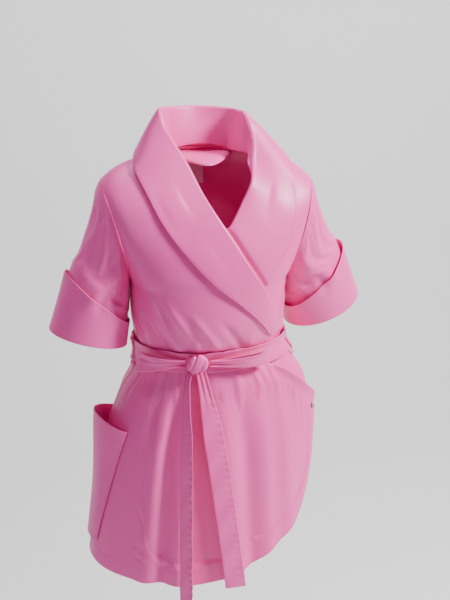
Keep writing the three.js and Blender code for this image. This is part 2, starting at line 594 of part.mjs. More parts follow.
// ---- pocket -------------------------------------------------------------------------------------------------------
function pocketPoint(across, up, off) {
  const phi = lerp(lerp(POCKET.bottomFront, POCKET.mouthFront, up),
    lerp(POCKET.bottomBack, POCKET.mouthBack, up), across);
  const mouth = POCKET.mouthZ - POCKET.frontDrop * (1 - smooth(across * 2.2)) - 6 * smooth((across - 0.6) * 2.5);
  const z = lerp(POCKET.bottomZ, mouth, up);
  const gape = POCKET.gape * Math.sin(Math.PI * across) ** 0.9 * (0.28 * up + 0.72 * up ** 3.2);
  const belly = 5 * Math.sin(Math.PI * across) * (1 - up);
  return onBodyZ(phi, z, overLayer(phi) + LAYER + gape + belly + off);
}

function pocketPatch() {
  return sheet(steps(8, (v) => steps(12, (u) => pocketPoint(u, v, 0))), CLOTH);
}

function pocketFacing() {
  const from = 1 - POCKET.facing / (POCKET.mouthZ - POCKET.bottomZ);
  return sheet(steps(2, (v) => steps(8, (u) => pocketPoint(lerp(0.16, 0.84, u),
    lerp(from, 0.997, v), -FACING_LAYER))), FACING);
}

// ---- inside the back neck ------------------------------------------------------------------------------------------
function neckFacing() {
  const rows = CHEST_ROWS.slice(-5, -1).map((v) => steps(4, (u) => {
    const phi = lerp(160, 200, u);
    return onBody(phi, backNeckline(phi, v), -FACING_LAYER);
  }));
  return sheet(rows, FACING);
}

const napeInside = onBody(180, 0.86, -FACING_LAYER - FACING / 2);

function hangerLoop() {
  const { wide, tall, strap, tape } = LOOP;
  const shape = new THREE.Shape([
    [-wide / 2, 0], [-wide / 2, -tall], [wide / 2, -tall], [wide / 2, 0], [wide / 2 - strap, 0],
    [wide / 2 - strap, strap - tall], [strap - wide / 2, strap - tall], [strap - wide / 2, 0],
  ].map(([x, y]) => new THREE.Vector2(x, y)));
  const geometry = new THREE.ExtrudeGeometry(shape, { depth: tape, bevelEnabled: false });
  geometry.rotateX(Math.PI / 2);
  return { geometry, position: vec(0, napeInside.y - 2.6, napeInside.z) };
}

function careLabel() {
  const geometry = new THREE.BoxGeometry(LABEL.wide, LABEL.thick, LABEL.tall);
  const top = onBody(180, 0.76, -FACING_LAYER - FACING / 2);
  return { geometry, position: vec(0, top.y - 1.8, top.z - LABEL.tall / 2) };
}

// ---- assembly --------------------------------------------------------------------------------------------------------
const gown = new THREE.Group();
const PINK = 0xe88fc0;
const cottonFinish = { color: PINK, roughness: 0.55, metalness: 0 };
const metalFinish = { color: 0xb9a9a6, roughness: 0.3, metalness: 0.9 };
const tapeFinish = { color: 0xf2c4dc, roughness: 0.8, metalness: 0 };

function add(name, piece, finish = cottonFinish) {
  const { geometry, position, quaternion, scale } = piece.isBufferGeometry ? { geometry: piece } : piece;
  const mesh = new THREE.Mesh(geometry, new THREE.MeshStandardMaterial(finish));
  mesh.name = name;
  if (position) mesh.position.copy(position);
  if (quaternion) mesh.quaternion.copy(quaternion);
  if (scale) mesh.scale.copy(scale);
  gown.add(mesh);
}

add('back_panel', backPanel());
add('left_front', leftFront());
add('right_front', rightFront());
add('overlap_flap', overlapFlap());
add('overlap_facing', overlapFacing());
add('underlap_facing', underlapFacing());
add('right_sleeve', sleeve(RIGHT_ARM));
add('left_sleeve', sleeve(LEFT_ARM));
add('right_cuff', cuff(RIGHT_ARM));
add('left_cuff', cuff(LEFT_ARM));
add('collar_right', collar(RIGHT_COLLAR, LAYER, 2));
add('collar_left', collar(LEFT_COLLAR, 0, 2));
add('back_neck_facing', neckFacing());
add('hanger_loop', hangerLoop(), tapeFinish);
add('care_label', careLabel(), tapeFinish);
add('belt_band', beltBand());
add('belt_knot', beltKnot());
add('bow_loop_right', bowLoop(RIGHT_BOW));
add('bow_loop_left', bowLoop(LEFT_BOW));
add('belt_tail_front', tail(FRONT_TAIL));
add('belt_tail_back', tail(BACK_TAIL));
add('belt_carrier_right', carrier(-86));
add('belt_carrier_left', carrier(80));
add('pocket_patch', pocketPatch());
add('pocket_mouth_facing', pocketFacing());
add('snap_cap', stud(capProfile, SNAP.phi, SNAP.z, flapLayer(SNAP.phi) + HALF + REST), metalFinish);
add('snap_socket', stud(socketProfile, SNAP.phi, SNAP.z, flapLayer(SNAP.phi) - HALF - REST_INSIDE - socketTall), metalFinish);
add('snap_stud', stud(studProfile, SNAP.phi, SNAP.z, HALF + REST), metalFinish);
add('snap_foot', stud(footProfile, SNAP.phi, SNAP.z, -HALF - REST_INSIDE - 1.1), metalFinish);

export default gown;
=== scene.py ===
import math

import bmesh
import bpy
import numpy as np
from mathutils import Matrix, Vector


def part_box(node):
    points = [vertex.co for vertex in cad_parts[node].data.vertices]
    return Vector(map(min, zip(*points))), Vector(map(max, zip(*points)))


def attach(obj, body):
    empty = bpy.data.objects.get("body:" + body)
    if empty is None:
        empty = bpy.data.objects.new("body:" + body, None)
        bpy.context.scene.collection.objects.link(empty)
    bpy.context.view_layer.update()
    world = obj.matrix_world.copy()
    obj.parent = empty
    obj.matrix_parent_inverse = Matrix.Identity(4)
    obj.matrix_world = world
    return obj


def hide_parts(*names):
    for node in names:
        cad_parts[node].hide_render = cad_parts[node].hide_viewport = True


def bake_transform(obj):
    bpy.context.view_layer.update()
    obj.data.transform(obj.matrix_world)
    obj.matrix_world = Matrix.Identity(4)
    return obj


bl_info = {
    "name": "Wrap Gown",
    "version": (1, 0, 0),
    "blender": (4, 5, 0),
    "location": "3D View > Sidebar > Gown",
    "description": "A wrap gown with a shawl collar, cuffs, a tied belt and a pocket, on its packed frame",
    "category": "Object",
}

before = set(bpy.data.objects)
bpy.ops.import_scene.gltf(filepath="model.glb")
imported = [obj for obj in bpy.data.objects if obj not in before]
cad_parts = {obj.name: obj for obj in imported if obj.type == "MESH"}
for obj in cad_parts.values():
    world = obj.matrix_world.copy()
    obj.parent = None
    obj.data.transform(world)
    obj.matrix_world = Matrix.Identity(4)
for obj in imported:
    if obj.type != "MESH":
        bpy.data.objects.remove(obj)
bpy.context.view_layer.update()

# Metres, +Z up; +X is the wearer's left and the front faces -Y. The origin is at the middle of
# the neck opening. Angles round the body are degrees from the front, positive to the wearer's left.

# ---- layers ---------------------------------------------------------------------------------
LAYER = 0.0033                 # from one cloth to the next that lies on it
EDGE_STAND = 0.0014            # the over front's sewn edge stands this much higher
FLAP_STAND = 0.0042            # the press stud holds the overlap this much further out
FACING_LAYER = 0.0027

# ---- body shape -----------------------------------------------------------------------------
UNDERARM_Z = -0.237
WAIST_Z = -0.385
HEM_Z = -0.850
NECK_HALF = 0.076
NAPE_RISE = 0.024
NECK_DIP = 0.075
SHOULDER_BOW = 2.6
ARMHOLE_DEPTH = 0.062
BELT_WIDTH = 0.050
UNDER_BELT = WAIST_Z - 0.006   # the bodice and skirt meet here, where the belt hides the line

# height, half width to the right and left, depth to the front and back
GIRTH = (
    (-0.2370, 0.152, 0.160, 0.132, 0.108),
    (-0.3006, 0.150, 0.154, 0.134, 0.105),
    (-0.3450, 0.145, 0.150, 0.124, 0.098),
    (-0.3850, 0.138, 0.156, 0.106, 0.090),
    (-0.4250, 0.147, 0.181, 0.112, 0.102),
    (-0.4701, 0.172, 0.206, 0.122, 0.115),
    (-0.5598, 0.204, 0.218, 0.138, 0.130),
    (-0.6998, 0.230, 0.211, 0.152, 0.142),
    (-0.8500, 0.252, 0.194, 0.165, 0.150),
)


class Arm:
    """One armhole and the sleeve that hangs from it."""

    def __init__(self, name, side, tip_x, tip_z, under_x, length, out, forward, cuff_half, cuff_tilt, turn,
                 cuff_stand):
        self.name, self.side = name, side
        self.tip_x, self.tip_z, self.under_x = tip_x, tip_z, under_x
        self.length, self.out, self.forward = length, out, forward
        self.cuff_half, self.cuff_tilt, self.turn = cuff_half, math.radians(cuff_tilt), math.radians(turn)
        self.cuff_stand = cuff_stand

    def bend(self):
        """Where the sleeve stops following the body, and where it follows the arm alone."""
        middle = Vector(((self.tip_x + self.under_x) / 2 * self.side, 0, (self.tip_z + UNDERARM_Z) / 2))
        out = Vector((self.side * ARMHOLE_OUT.x, 0, ARMHOLE_OUT.z))
        return middle, middle + out * ARMHOLE_SOFT


RIGHT_ARM = Arm("right", -1, 0.204, -0.047, 0.152, 0.206, 0.058, -0.012, 0.0745, 15, 0, 0.0030)
LEFT_ARM = Arm("left", 1, 0.210, -0.055, 0.160, 0.192, 0.070, 0.050, 0.079, 21.5, 12, 0.0060)
CUFF_DEPTH = 0.096
CUFF_HALF_THICK = 0.064        # from the middle of a cuff to its front or back
SLEEVE_SET_IN = 0.0012
ARMHOLE_OUT = Vector((0.965, 0, -0.265))   # which way an armhole faces, for the wearer's left
ARMHOLE_SOFT = 0.048           # length of sleeve between the two points that bend gives


# ---- small maths ----------------------------------------------------------------------------
def lerp(a, b, t):
    return a + (b - a) * t


def smooth(t):
    t = np.clip(t, 0, 1)
    return t * t * (3 - 2 * t)


def bump(t):
    """A soft ridge, 1 at t = 0 and about nothing beyond 2."""
    return np.exp(-t * t)


def table(pairs):
    """A smooth curve through (x, y) pairs with no overshoot, held level beyond its ends."""
    x, y = np.array(sorted(pairs), float).T
    chord = np.diff(y) / np.diff(x)
    before, after = chord[:-1], chord[1:]
    total = np.where(np.abs(before + after) < 1e-12, 1, before + after)
    inner = np.where(before * after <= 0, 0, 2 * before * after / total)
    slope = np.concatenate([chord[:1], inner, chord[-1:]])

    def at(q):
        q = np.clip(np.asarray(q, float), x[0], x[-1])
        i = np.clip(np.searchsorted(x, q) - 1, 0, len(x) - 2)
        span = x[i + 1] - x[i]
        t = (q - x[i]) / span
        t2, t3 = t * t, t * t * t
        return ((2 * t3 - 3 * t2 + 1) * y[i] + (t3 - 2 * t2 + t) * span * slope[i]
                + (3 * t2 - 2 * t3) * y[i + 1] + (t3 - t2) * span * slope[i + 1])
    return at


def unit(v):
    return v / np.maximum(np.linalg.norm(v, axis=-1, keepdims=True), 1e-12)


def stack(x, y, z):
    return np.stack(np.broadcast_arrays(x, y, z), axis=-1).astype(float)


# ---- body surface ---------------------------------------------------------------------------
girth_right, girth_left, girth_front, girth_back = (
    table([(row[0], row[k]) for row in GIRTH]) for k in (1, 2, 3, 4))
front_depth = table([(0, 0.132), (0.14, 0.132), (0.35, 0.124), (0.6, 0.093), (0.8, 0.048), (0.92, 0.020),
                     (1, 0)])
back_depth = table([(0, 0.108), (0.14, 0.1085), (0.35, 0.109), (0.6, 0.102), (0.8, 0.084), (0.92, 0.056),
                    (1, 0)])
side_fullness = table([(-0.385, 0), (-0.35, 0.12), (-0.30, 0.45), (-0.262, 0.72), (-0.237, 0.84)])


def arm_share(v):
    return (1 - np.cos(math.pi * v)) / 2


def arm_x(arm, v):
    return lerp(arm.under_x, arm.tip_x, arm_share(v))


def arm_z(arm, v):
    return lerp(UNDERARM_Z, arm.tip_z, arm_share(v))


def shoulder_z(x):
    tip_x = np.where(x < 0, RIGHT_ARM.tip_x, LEFT_ARM.tip_x)
    tip_z = np.where(x < 0, RIGHT_ARM.tip_z, LEFT_ARM.tip_z)
    return tip_z * np.clip((np.abs(x) - NECK_HALF) / (tip_x - NECK_HALF), 0, 1) ** SHOULDER_BOW


def bare_point(phi, h):
    """The body surface without its folds. h is metres from the underarm, and above it runs 0 to 1."""
    phi, h = np.broadcast_arrays(np.asarray(phi, float), np.asarray(h, float))
    s, c = np.sin(np.radians(phi)), np.cos(np.radians(phi))
    across, to_left = np.abs(c), (1 + s) / 2
    corner = (1 - across) * (1 - np.abs(s) ** 8)
    z = UNDERARM_Z + np.minimum(h, 0)
    wide = lerp(girth_right(z), girth_left(z), to_left)
    depth = (np.where(c > 0, girth_front(z), girth_back(z)) * across
             + ARMHOLE_DEPTH * side_fullness(z) * corner)
    low = stack(wide * s, -np.where(c > 0, depth, -depth), z)
    v = np.clip(h, 0, 1)
    wide = lerp(arm_x(RIGHT_ARM, v), arm_x(LEFT_ARM, v), to_left)
    ring = ARMHOLE_DEPTH * np.sin(math.pi * v)
    full = np.where(v < 0.5, np.maximum(ring, ARMHOLE_DEPTH * lerp(0.84, 1, smooth(v * 2))), ring)
    depth = np.where(c > 0, front_depth(v), back_depth(v))
    depth = depth * across + ring * (1 - across) + (full - ring) * corner
    x = wide * s
    edge_z = lerp(arm_z(RIGHT_ARM, v), arm_z(LEFT_ARM, v), to_left)
    tip = lerp(RIGHT_ARM.tip_z, LEFT_ARM.tip_z, to_left)
    nape = np.where(c < 0, NAPE_RISE * smooth((1 - np.abs(x) / NECK_HALF) * 1.6), 0)
    high = stack(x, np.where(c > 0, -depth, depth), edge_z + (shoulder_z(x) - tip + nape) * v * v)
    return np.where((h > 0)[..., None], high, low)


def body_normal(phi, h):
    step = np.where(h > 0, 0.004, 0.001)
    low = np.where(h > 0, np.maximum(h - step, 0), h - step)
    high = np.where(h > 0, np.minimum(h + step, 1), np.minimum(h + step, 0))
    across = bare_point(phi + 0.5, h) - bare_point(phi - 0.5, h)
    return unit(np.cross(across, bare_point(phi, high) - bare_point(phi, low)))


def height_of(z):
    return z - UNDERARM_Z


# ---- folds ----------------------------------------------------------------------------------
class Crease:
    """A fold that runs from one height to another, leaning as it goes; height is its depth of relief."""

    def __init__(self, phi, z, end_phi, end_z, width, relief):
        self.phi, self.z, self.end_phi, self.end_z = phi, z, end_phi, end_z
        self.width, self.relief = width, relief

    def at(self, phi, z):
        t = np.clip((z - self.z) / (self.end_z - self.z), -0.4, 1.4)
        middle = lerp(self.phi, self.end_phi, t)
        fade = smooth((t + 0.15) / 0.3) * smooth((1.15 - t) / 0.5)
        turn = (phi - middle + 180) % 360 - 180
        return self.relief * fade * bump(turn / self.width)


def gathers(seed, count, z, reach, relief, width):
    """Short folds that start at a cinched line and fade within reach of it, one after another."""
    draw = np.random.default_rng(seed)
    made = []
    for i in range(count):
        phi = -180 + (i + draw.uniform(0.15, 0.85)) * 360 / count
        length = reach * draw.uniform(0.35, 1.0)
        made.append(Crease(phi, z, phi + draw.uniform(-7, 7), z + length,
                           width * draw.uniform(0.6, 1.3), relief * draw.uniform(-0.7, 1.0)))
    return made


BODICE_GATHERS = gathers(4, 40, WAIST_Z, 0.090, 0.0042, 2.6)
SKIRT_GATHERS = gathers(9, 42, WAIST_Z, -0.120, 0.0044, 2.6)
BODICE_FOLDS = [
    Crease(-26, -0.372, -60, -0.235, 4.6, 0.0070),
    Crease(-36, -0.372, -70, -0.262, 3.6, -0.0052),
    Crease(-48, -0.372, -78, -0.250, 4.6, 0.0064),
    Crease(-10, -0.372, -40, -0.262, 4.0, 0.0048),
    Crease(4, -0.372, -20, -0.285, 3.6, 0.0042),
    Crease(-66, -0.365, -82, -0.275, 5.0, 0.0054),
    Crease(20, -0.366, 2, -0.300, 3.6, -0.0034),
    Crease(70, -0.372, 84, -0.262, 5.0, 0.0050),
    Crease(120, -0.372, 128, -0.275, 5.0, 0.0048),
    Crease(165, -0.372, 160, -0.290, 6.0, 0.0050),
    Crease(205, -0.372, 212, -0.280, 5.5, 0.0048),
    Crease(245, -0.372, 238, -0.270, 5.0, 0.0050),
]
SKIRT_FLUTES = [
    Crease(-41, -0.880, -34, -0.430, 4.8, 0.0100),
    Crease(-32, -0.880, -27, -0.430, 3.6, -0.0095),
    Crease(-23, -0.880, -20, -0.430, 4.0, 0.0080),
    Crease(6, -0.880, 2, -0.450, 6.0, 0.0078),
    Crease(17, -0.880, 13, -0.450, 4.6, -0.0072),
    Crease(28, -0.860, 25, -0.450, 5.0, 0.0048),
    Crease(44, -0.800, 38, -0.450, 6.0, 0.0044),
    Crease(104, -0.880, 108, -0.450, 9.0, 0.0080),
    Crease(128, -0.880, 130, -0.470, 6.5, -0.0066),
    Crease(152, -0.880, 155, -0.440, 9.0, 0.0084),
    Crease(184, -0.880, 182, -0.450, 7.5, -0.0066),
    Crease(212, -0.880, 208, -0.440, 9.0, 0.0084),
    Crease(240, -0.880, 244, -0.470, 7.0, -0.0060),
]


def relief(phi, z):
    """How far the folds lift the cloth off the bare body at each point."""
    waist = smooth((np.abs(z - WAIST_Z) - BELT_WIDTH * 0.34) / (BELT_WIDTH * 0.35))
    above = sum(crease.at(phi, z) for crease in BODICE_GATHERS + BODICE_FOLDS)
    below = sum(crease.at(phi, z) for crease in SKIRT_GATHERS + SKIRT_FLUTES)
    return waist * np.where(z > WAIST_Z, above, below)


def on_body(phi, h, off):
    """A point off the body, on the layer that stands off by off, folds included."""
    bare = bare_point(phi, h)
    lift = off + relief(phi, bare[..., 2])
    return bare + body_normal(phi, h) * np.asarray(lift)[..., None]


def on_body_z(phi, z, off):
    return on_body(phi, height_of(z), off)


def on_front(x, z, off):
    """The point of the front at a given x and z."""
    x, z = np.broadcast_arrays(np.asarray(x, float), np.asarray(z, float))
    phi = np.zeros(x.shape)
    h = np.minimum(height_of(z), 0.0)
    for _ in range(40):
        p = bare_point(phi, h)
        phi = np.clip(phi + (x - p[..., 0]) * 300, -89, 89)
        h = np.where(z > UNDERARM_Z, np.clip(h + (z - p[..., 2]) / 0.260, 0, 1), height_of(z))
    return on_body(phi, h, off)


# ---- outlines -------------------------------------------------------------------------------
HINGE_PHI = 36
OVERLAP_BEND = ((0.092, 0, 0), (0.150, 0, 0))
FLAP_EDGE = 84
FLAP_GAPE = 0.0095
right_hem = table([(-90, -0.828), (-45, -0.842), (-20, -0.846), (0, -0.836), (14, -0.820), (30, -0.792),
                   (51, -0.749), (61, -0.708), (70, -0.668), (78, -0.628), (FLAP_EDGE, -0.575)])
skirt_top = table([(-90, UNDER_BELT), (HINGE_PHI - 2, UNDER_BELT), (HINGE_PHI + 3, -0.410), (46, -0.422),
                   (60, -0.466), (75, -0.500), (FLAP_EDGE, -0.512)])
under_hem = table([(-55, -0.640), (-50, -0.710), (-42, -0.770), (-30, -0.800), (0, -0.805), (30, -0.770),
                   (51, -0.730), (61, -0.702), (75, -0.712), (90, -0.727)])
back_hem = table([(90, -0.727), (110, -0.752), (150, -0.795), (180, -0.805), (210, -0.815), (250, -0.822),
                  (270, -0.828)])
roll_x = table([(0.030, -0.065), (-0.010, -0.042), (-0.058, -0.021), (-0.100, 0), (-0.143, 0.027),
                (-0.196, 0.059), (-0.243, 0.088), (-0.290, 0.108), (-0.335, 0.126), (WAIST_Z, 0.136)])
left_roll_x = table([(-0.012, 0.088), (-0.048, 0.073), (-0.080, 0.056), (-0.106, 0.038), (-0.122, 0.026),
                     (-0.160, -0.002), (-0.200, -0.032), (-0.243, -0.064), (-0.290, -0.092),
                     (-0.335, -0.112), (WAIST_Z, -0.124)])
SEAM_INSET = 0.014
UNDER_EDGE = -55


def edge_x(z, side):
    return roll_x(z) - SEAM_INSET if side > 0 else left_roll_x(z) + SEAM_INSET


def chest_edge(v, side):
    """Angle of a front's edge above the underarm; side is 1 for the over front."""
    x = np.zeros_like(v)
    reach = lerp(arm_x(RIGHT_ARM, v), arm_x(LEFT_ARM, v), 0.5)
    neck = NECK_HALF + (0.002 if side > 0 else 0.009)
    for _ in range(30):
        phi = np.degrees(np.arcsin(np.clip(x / reach, -1, 1)))
        z = bare_point(phi, np.maximum(v, 1e-6))[..., 2]
        x = lerp(x, lerp(edge_x(z, side), -side * neck, smooth((v - 0.55) / 0.45)), 0.5)
    return phi


def bodice_edge(z, side):
    reach = lerp(girth_right(z), girth_left(z), 0.75 if side > 0 else 0.25)
    return np.degrees(np.arcsin(np.clip(edge_x(z, side) / reach, -1, 1)))


def over_layer(phi):
    return LAYER * smooth((phi + 88) / 28) + EDGE_STAND * smooth(phi / 45)


def back_neckline(phi, v):
    inside = 1 - np.abs(np.sin(np.radians(phi))) * LEFT_ARM.tip_x / NECK_HALF
    return v - NECK_DIP * smooth(inside * 4) * smooth((v - 0.85) / 0.145)


# ---- sheets ---------------------------------------------------------------------------------
GRIDS = {}                     # the middle surface of each sheet, as rows of points, by piece name


def arc_lengths(points, axis):
    step = np.linalg.norm(np.diff(points, axis=axis), axis=-1)
    start = np.zeros_like(np.take(step, [0], axis=axis))
    return np.concatenate([start, np.cumsum(step, axis=axis)], axis=axis)


def grid_normals(points, ring=False):
    padded = np.concatenate([points[:, -1:], points, points[:, :1]], axis=1) if ring else points
    across = np.gradient(padded, axis=1)
    along = np.gradient(padded, axis=0)
    normals = unit(np.cross(across, along))
    return normals[:, 1:-1] if ring else normals


def clear_data(name):
    old = bpy.data.objects.get(name)
    if old:
        bpy.data.objects.remove(old, do_unlink=True)


def new_object(name, mesh):
    clear_data(name)
    mesh.name = name
    piece = bpy.data.objects.new(name, mesh)
    bpy.context.scene.collection.objects.link(piece)
    return piece


def grid_object(name, points, ring=False):
    """A sheet's middle surface as a mesh of quads, with its own lengths as UV."""
    nv, nu = points.shape[:2]
    columns = nu if ring else nu - 1
    v, u = np.meshgrid(np.arange(nv - 1), np.arange(columns), indexing="ij")
    after = (u + 1) % nu
    quads = np.stack([v * nu + u, v * nu + after, (v + 1) * nu + after, (v + 1) * nu + u], -1).reshape(-1, 4)
    mesh = bpy.data.meshes.new(name)
    mesh.from_pydata(points.reshape(-1, 3).tolist(), [], quads.tolist())
    row_u, row_v = arc_lengths(points, 1).mean(0), arc_lengths(points, 0).mean(1)
    if ring:
        row_u = np.append(row_u, row_u[-1] + np.linalg.norm(points[:, 0] - points[:, -1], axis=-1).mean())
    corner_u = np.stack([u, u + 1, u + 1, u], -1).reshape(-1)
    corner_v = np.stack([v, v, v + 1, v + 1], -1).reshape(-1)
    if not ring:
        row_u = np.append(row_u, row_u[-1])
    layer = mesh.uv_layers.new(name="UVMap")
    layer.data.foreach_set("uv", np.stack([row_u[corner_u], row_v[corner_v]], -1).astype(np.float32).ravel())
    mesh.shade_smooth()
    return new_object(name, mesh)


def thicken(piece, thickness, levels=1):
    solid = piece.modifiers.new("Thickness", "SOLIDIFY")
    solid.thickness = thickness
    solid.offset = 0
    if levels:
        soft = piece.modifiers.new("Smooth", "SUBSURF")
        soft.levels = soft.render_levels = levels


def settle(piece, points, free, frames=16, growth=0.02, limit=0.005):
    """Lets a sheet buckle and hang by cloth simulation. free is 0 where it is sewn or held, up to 1."""
    sizes = bpy.context.scene.gown_sizes
    group = piece.vertex_groups.new(name="held")
    held = (1 - np.clip(free, 0, 1)).reshape(-1)
    for value in np.unique(np.round(held, 2)):
        rows = np.nonzero(np.isclose(np.round(held, 2), value))[0]
        group.add(rows.tolist(), float(value), "REPLACE")
    cloth = piece.modifiers.new("Drape", "CLOTH")
    cloth.settings.quality = 6
    cloth.settings.mass = 0.25
    cloth.settings.tension_stiffness = 18
    cloth.settings.compression_stiffness = 18
    cloth.settings.shear_stiffness = 6
    cloth.settings.bending_stiffness = sizes.cloth_stiffness
    cloth.settings.air_damping = 2
    cloth.settings.vertex_group_mass = "held"
    cloth.settings.shrink_min = -growth
    cloth.settings.shrink_max = -growth
    cloth.collision_settings.use_collision = False
    cloth.collision_settings.use_self_collision = False
    cloth.point_cache.frame_start = 1
    cloth.point_cache.frame_end = frames
    scene = bpy.context.scene
    for step in range(1, frames + 1):
        scene.frame_set(step)
    evaluated = piece.evaluated_get(bpy.context.evaluated_depsgraph_get())
    moved = np.empty(len(piece.data.vertices) * 3, np.float32)
    evaluated.data.vertices.foreach_get("co", moved)
    shift = moved.reshape(points.shape).astype(float) - points
    far = np.linalg.norm(shift, axis=-1, keepdims=True)
    shift *= limit * np.tanh(far / limit) / np.maximum(far, 1e-9)
    scene.frame_set(1)
    piece.modifiers.remove(cloth)
    piece.vertex_groups.remove(group)
    settled = points + shift * np.clip(free, 0, 1)[..., None]
    piece.data.vertices.foreach_set("co", settled.astype(np.float32).ravel())
    piece.data.update()
    return settled


def cloth_piece(name, points, finish, thickness, ring=False, levels=1, free=None, **settling):
    piece = grid_object(name, points, ring)
    if free is not None:
        points = settle(piece, points, free, **settling)
    GRIDS[name] = (points, ring, thickness)
    thicken(piece, thickness, levels)
    piece.data.materials.append(finish)
    return piece


def carry(piece, body, *nodes, slot="gown_cloth"):
    """Lets a piece ride on its body, in place of the CAD nodes that it shows."""
    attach(piece, body)
    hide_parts(*nodes)


def carry_bent(piece, body, ends, *nodes, slot="gown_cloth"):
    """Bakes a piece's placement into its mesh, and hides the CAD nodes that it shows."""
    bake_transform(piece)
    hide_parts(*nodes)


def declare(flat, share=1.0):
    """flat is the size of the sheet that a piece is cut from, and share the part of it that its outline takes
    up; their product is worked out and not kept.
    """
    share * flat[0] * flat[1]


# ---- materials ------------------------------------------------------------------------------
class Value:
    """A shader socket that takes part in arithmetic; each operation adds its Math node."""

    def __init__(self, finish, socket):
        self.finish, self.socket = finish, socket

    def _math(self, operation, *inputs):
        return self.finish.node("ShaderNodeMath", {"operation": operation}, *inputs)

    def __add__(self, other):
        return self._math("ADD", self, other)

    def __sub__(self, other):
        return self._math("SUBTRACT", self, other)

    def __rsub__(self, other):
        return self._math("SUBTRACT", other, self)

    def __mul__(self, other):
        return self._math("MULTIPLY", self, other)

    def __pow__(self, other):
        return self._math("POWER", self, other)

    __radd__ = __add__
    __rmul__ = __mul__

    def above(self, other):
        return self._math("GREATER_THAN", self, other)


class Finish:
    """A material under construction."""

    def __init__(self, name):
        old = bpy.data.materials.get(name)
        if old:
            bpy.data.materials.remove(old)
        self.material = bpy.data.materials.new(name)
        self.material.use_nodes = True
        self.tree = self.material.node_tree
        self.shader = next(n for n in self.tree.nodes if n.type == "BSDF_PRINCIPLED")

    def link(self, value, socket):
        if isinstance(value, Value):
            self.tree.links.new(value.socket, socket)
        elif value is not None:
            socket.default_value = value

    def node(self, kind, settings, *inputs, output=0, **named):
        made = self.tree.nodes.new(kind)
        for key, value in settings.items():
            if key == "stops":
                for i, (place, colour) in enumerate(value):
                    stop = made.color_ramp.elements[i] if i < 2 else made.color_ramp.elements.new(place)
                    stop.position, stop.color = place, colour
            else:
                setattr(made, key, value)
        for i, value in enumerate(inputs):
            self.link(value, made.inputs[i])
        for key, value in named.items():
            self.link(value, made.inputs[key.replace("_", " ")])
        return Value(self, made.outputs[output])

    def place(self):
        """Where a point is on the gown."""
        return self.node("ShaderNodeTexCoord", {}, output=3)

    def along_cloth(self):
        """Where a point is on its own piece of cloth, in metres."""
        return self.node("ShaderNodeTexCoord", {}, output=2)

    def noise(self, place, scale, detail=2.0, roughness=0.5):
        return self.node("ShaderNodeTexNoise", {}, Vector=place, Scale=scale, Detail=detail,
                         Roughness=roughness)

    def blend(self, share, first, second):
        mixed = self.tree.nodes.new("ShaderNodeMix")
        mixed.data_type = "RGBA"
        self.link(share, mixed.inputs[0])
        self.link(first, mixed.inputs[6])
        self.link(second, mixed.inputs[7])
        return Value(self, mixed.outputs[2])

    def set(self, **sockets):
        for key, value in sockets.items():
            self.link(value, self.shader.inputs[key.replace("_", " ")])
        return self.material


def shade(colour, factor):
    return (colour[0] * factor, colour[1] * factor, colour[2] * factor, 1.0)


def satin_cotton(name, colour, thread=0.00042, sheen=0.08):
    """Closely woven cotton with a satin face: fine diagonal floats, soft creasing and an uneven gloss."""
    finish = Finish(name)
    place = finish.place()
    cloth = finish.along_cloth()
    cloud = finish.noise(place, 9.0, 3.0)
    drawn_out = finish.node("ShaderNodeMapping", {}, Vector=cloth, Scale=(1.0, 14.0, 1.0))
    slub = finish.noise(drawn_out, 160.0, 2.0)
    floats = finish.node("ShaderNodeTexWave", {"bands_direction": "DIAGONAL"}, Vector=cloth,
                         Scale=0.16 / thread, Distortion=1.5, Detail=1.0)
    creasing = finish.noise(place, 55.0, 4.0, 0.6)
    deep = finish.blend(cloud, shade(colour, 0.90), shade(colour, 1.06))
    face = finish.blend(slub * 0.5 + floats * 0.25, deep, shade(colour, 1.03))
    gloss = 0.28 + cloud * 0.14 + slub * 0.10
    weave = finish.node("ShaderNodeBump", {}, Strength=0.10, Distance=0.0002, Height=floats + slub)
    normal = finish.node("ShaderNodeBump", {}, Strength=0.16, Distance=0.0012, Height=creasing, Normal=weave)
    return finish.set(Base_Color=face, Roughness=gloss, Normal=normal, Sheen_Weight=sheen,
                      Sheen_Roughness=0.35, Sheen_Tint=shade(colour, 1.1), Specular_IOR_Level=0.42)


def woven_tape(name, colour):
    finish = Finish(name)
    cloth = finish.along_cloth()
    ribs = finish.node("ShaderNodeTexWave", {}, Vector=cloth, Scale=700.0, Distortion=0.6)
    cloud = finish.noise(cloth, 90.0)
    face = finish.blend(ribs * 0.6 + cloud * 0.4, shade(colour, 0.86), shade(colour, 1.05))
    normal = finish.node("ShaderNodeBump", {}, Strength=0.4, Distance=0.0003, Height=ribs)
    return finish.set(Base_Color=face, Roughness=0.62 + ribs * 0.2, Normal=normal, Sheen_Weight=0.3)


def plated_metal(name, colour):
    finish = Finish(name)
    place = finish.place()
    scuffs = finish.noise(place, 900.0, 4.0, 0.7)
    tone = finish.noise(place, 180.0)
    face = finish.blend(tone, shade(colour, 0.82), shade(colour, 1.0))
    normal = finish.node("ShaderNodeBump", {}, Strength=0.08, Distance=0.0002, Height=scuffs)
    return finish.set(Base_Color=face, Roughness=0.24 + scuffs * 0.22, Metallic=0.95, Normal=normal)


def sewing_thread(name, colour):
    finish = Finish(name)
    place = finish.place()
    twist = finish.noise(place, 2600.0, 1.0)
    face = finish.blend(twist, shade(colour, 0.84), shade(colour, 1.02))
    return finish.set(Base_Color=face, Roughness=0.5 + twist * 0.15, Sheen_Weight=0.3)


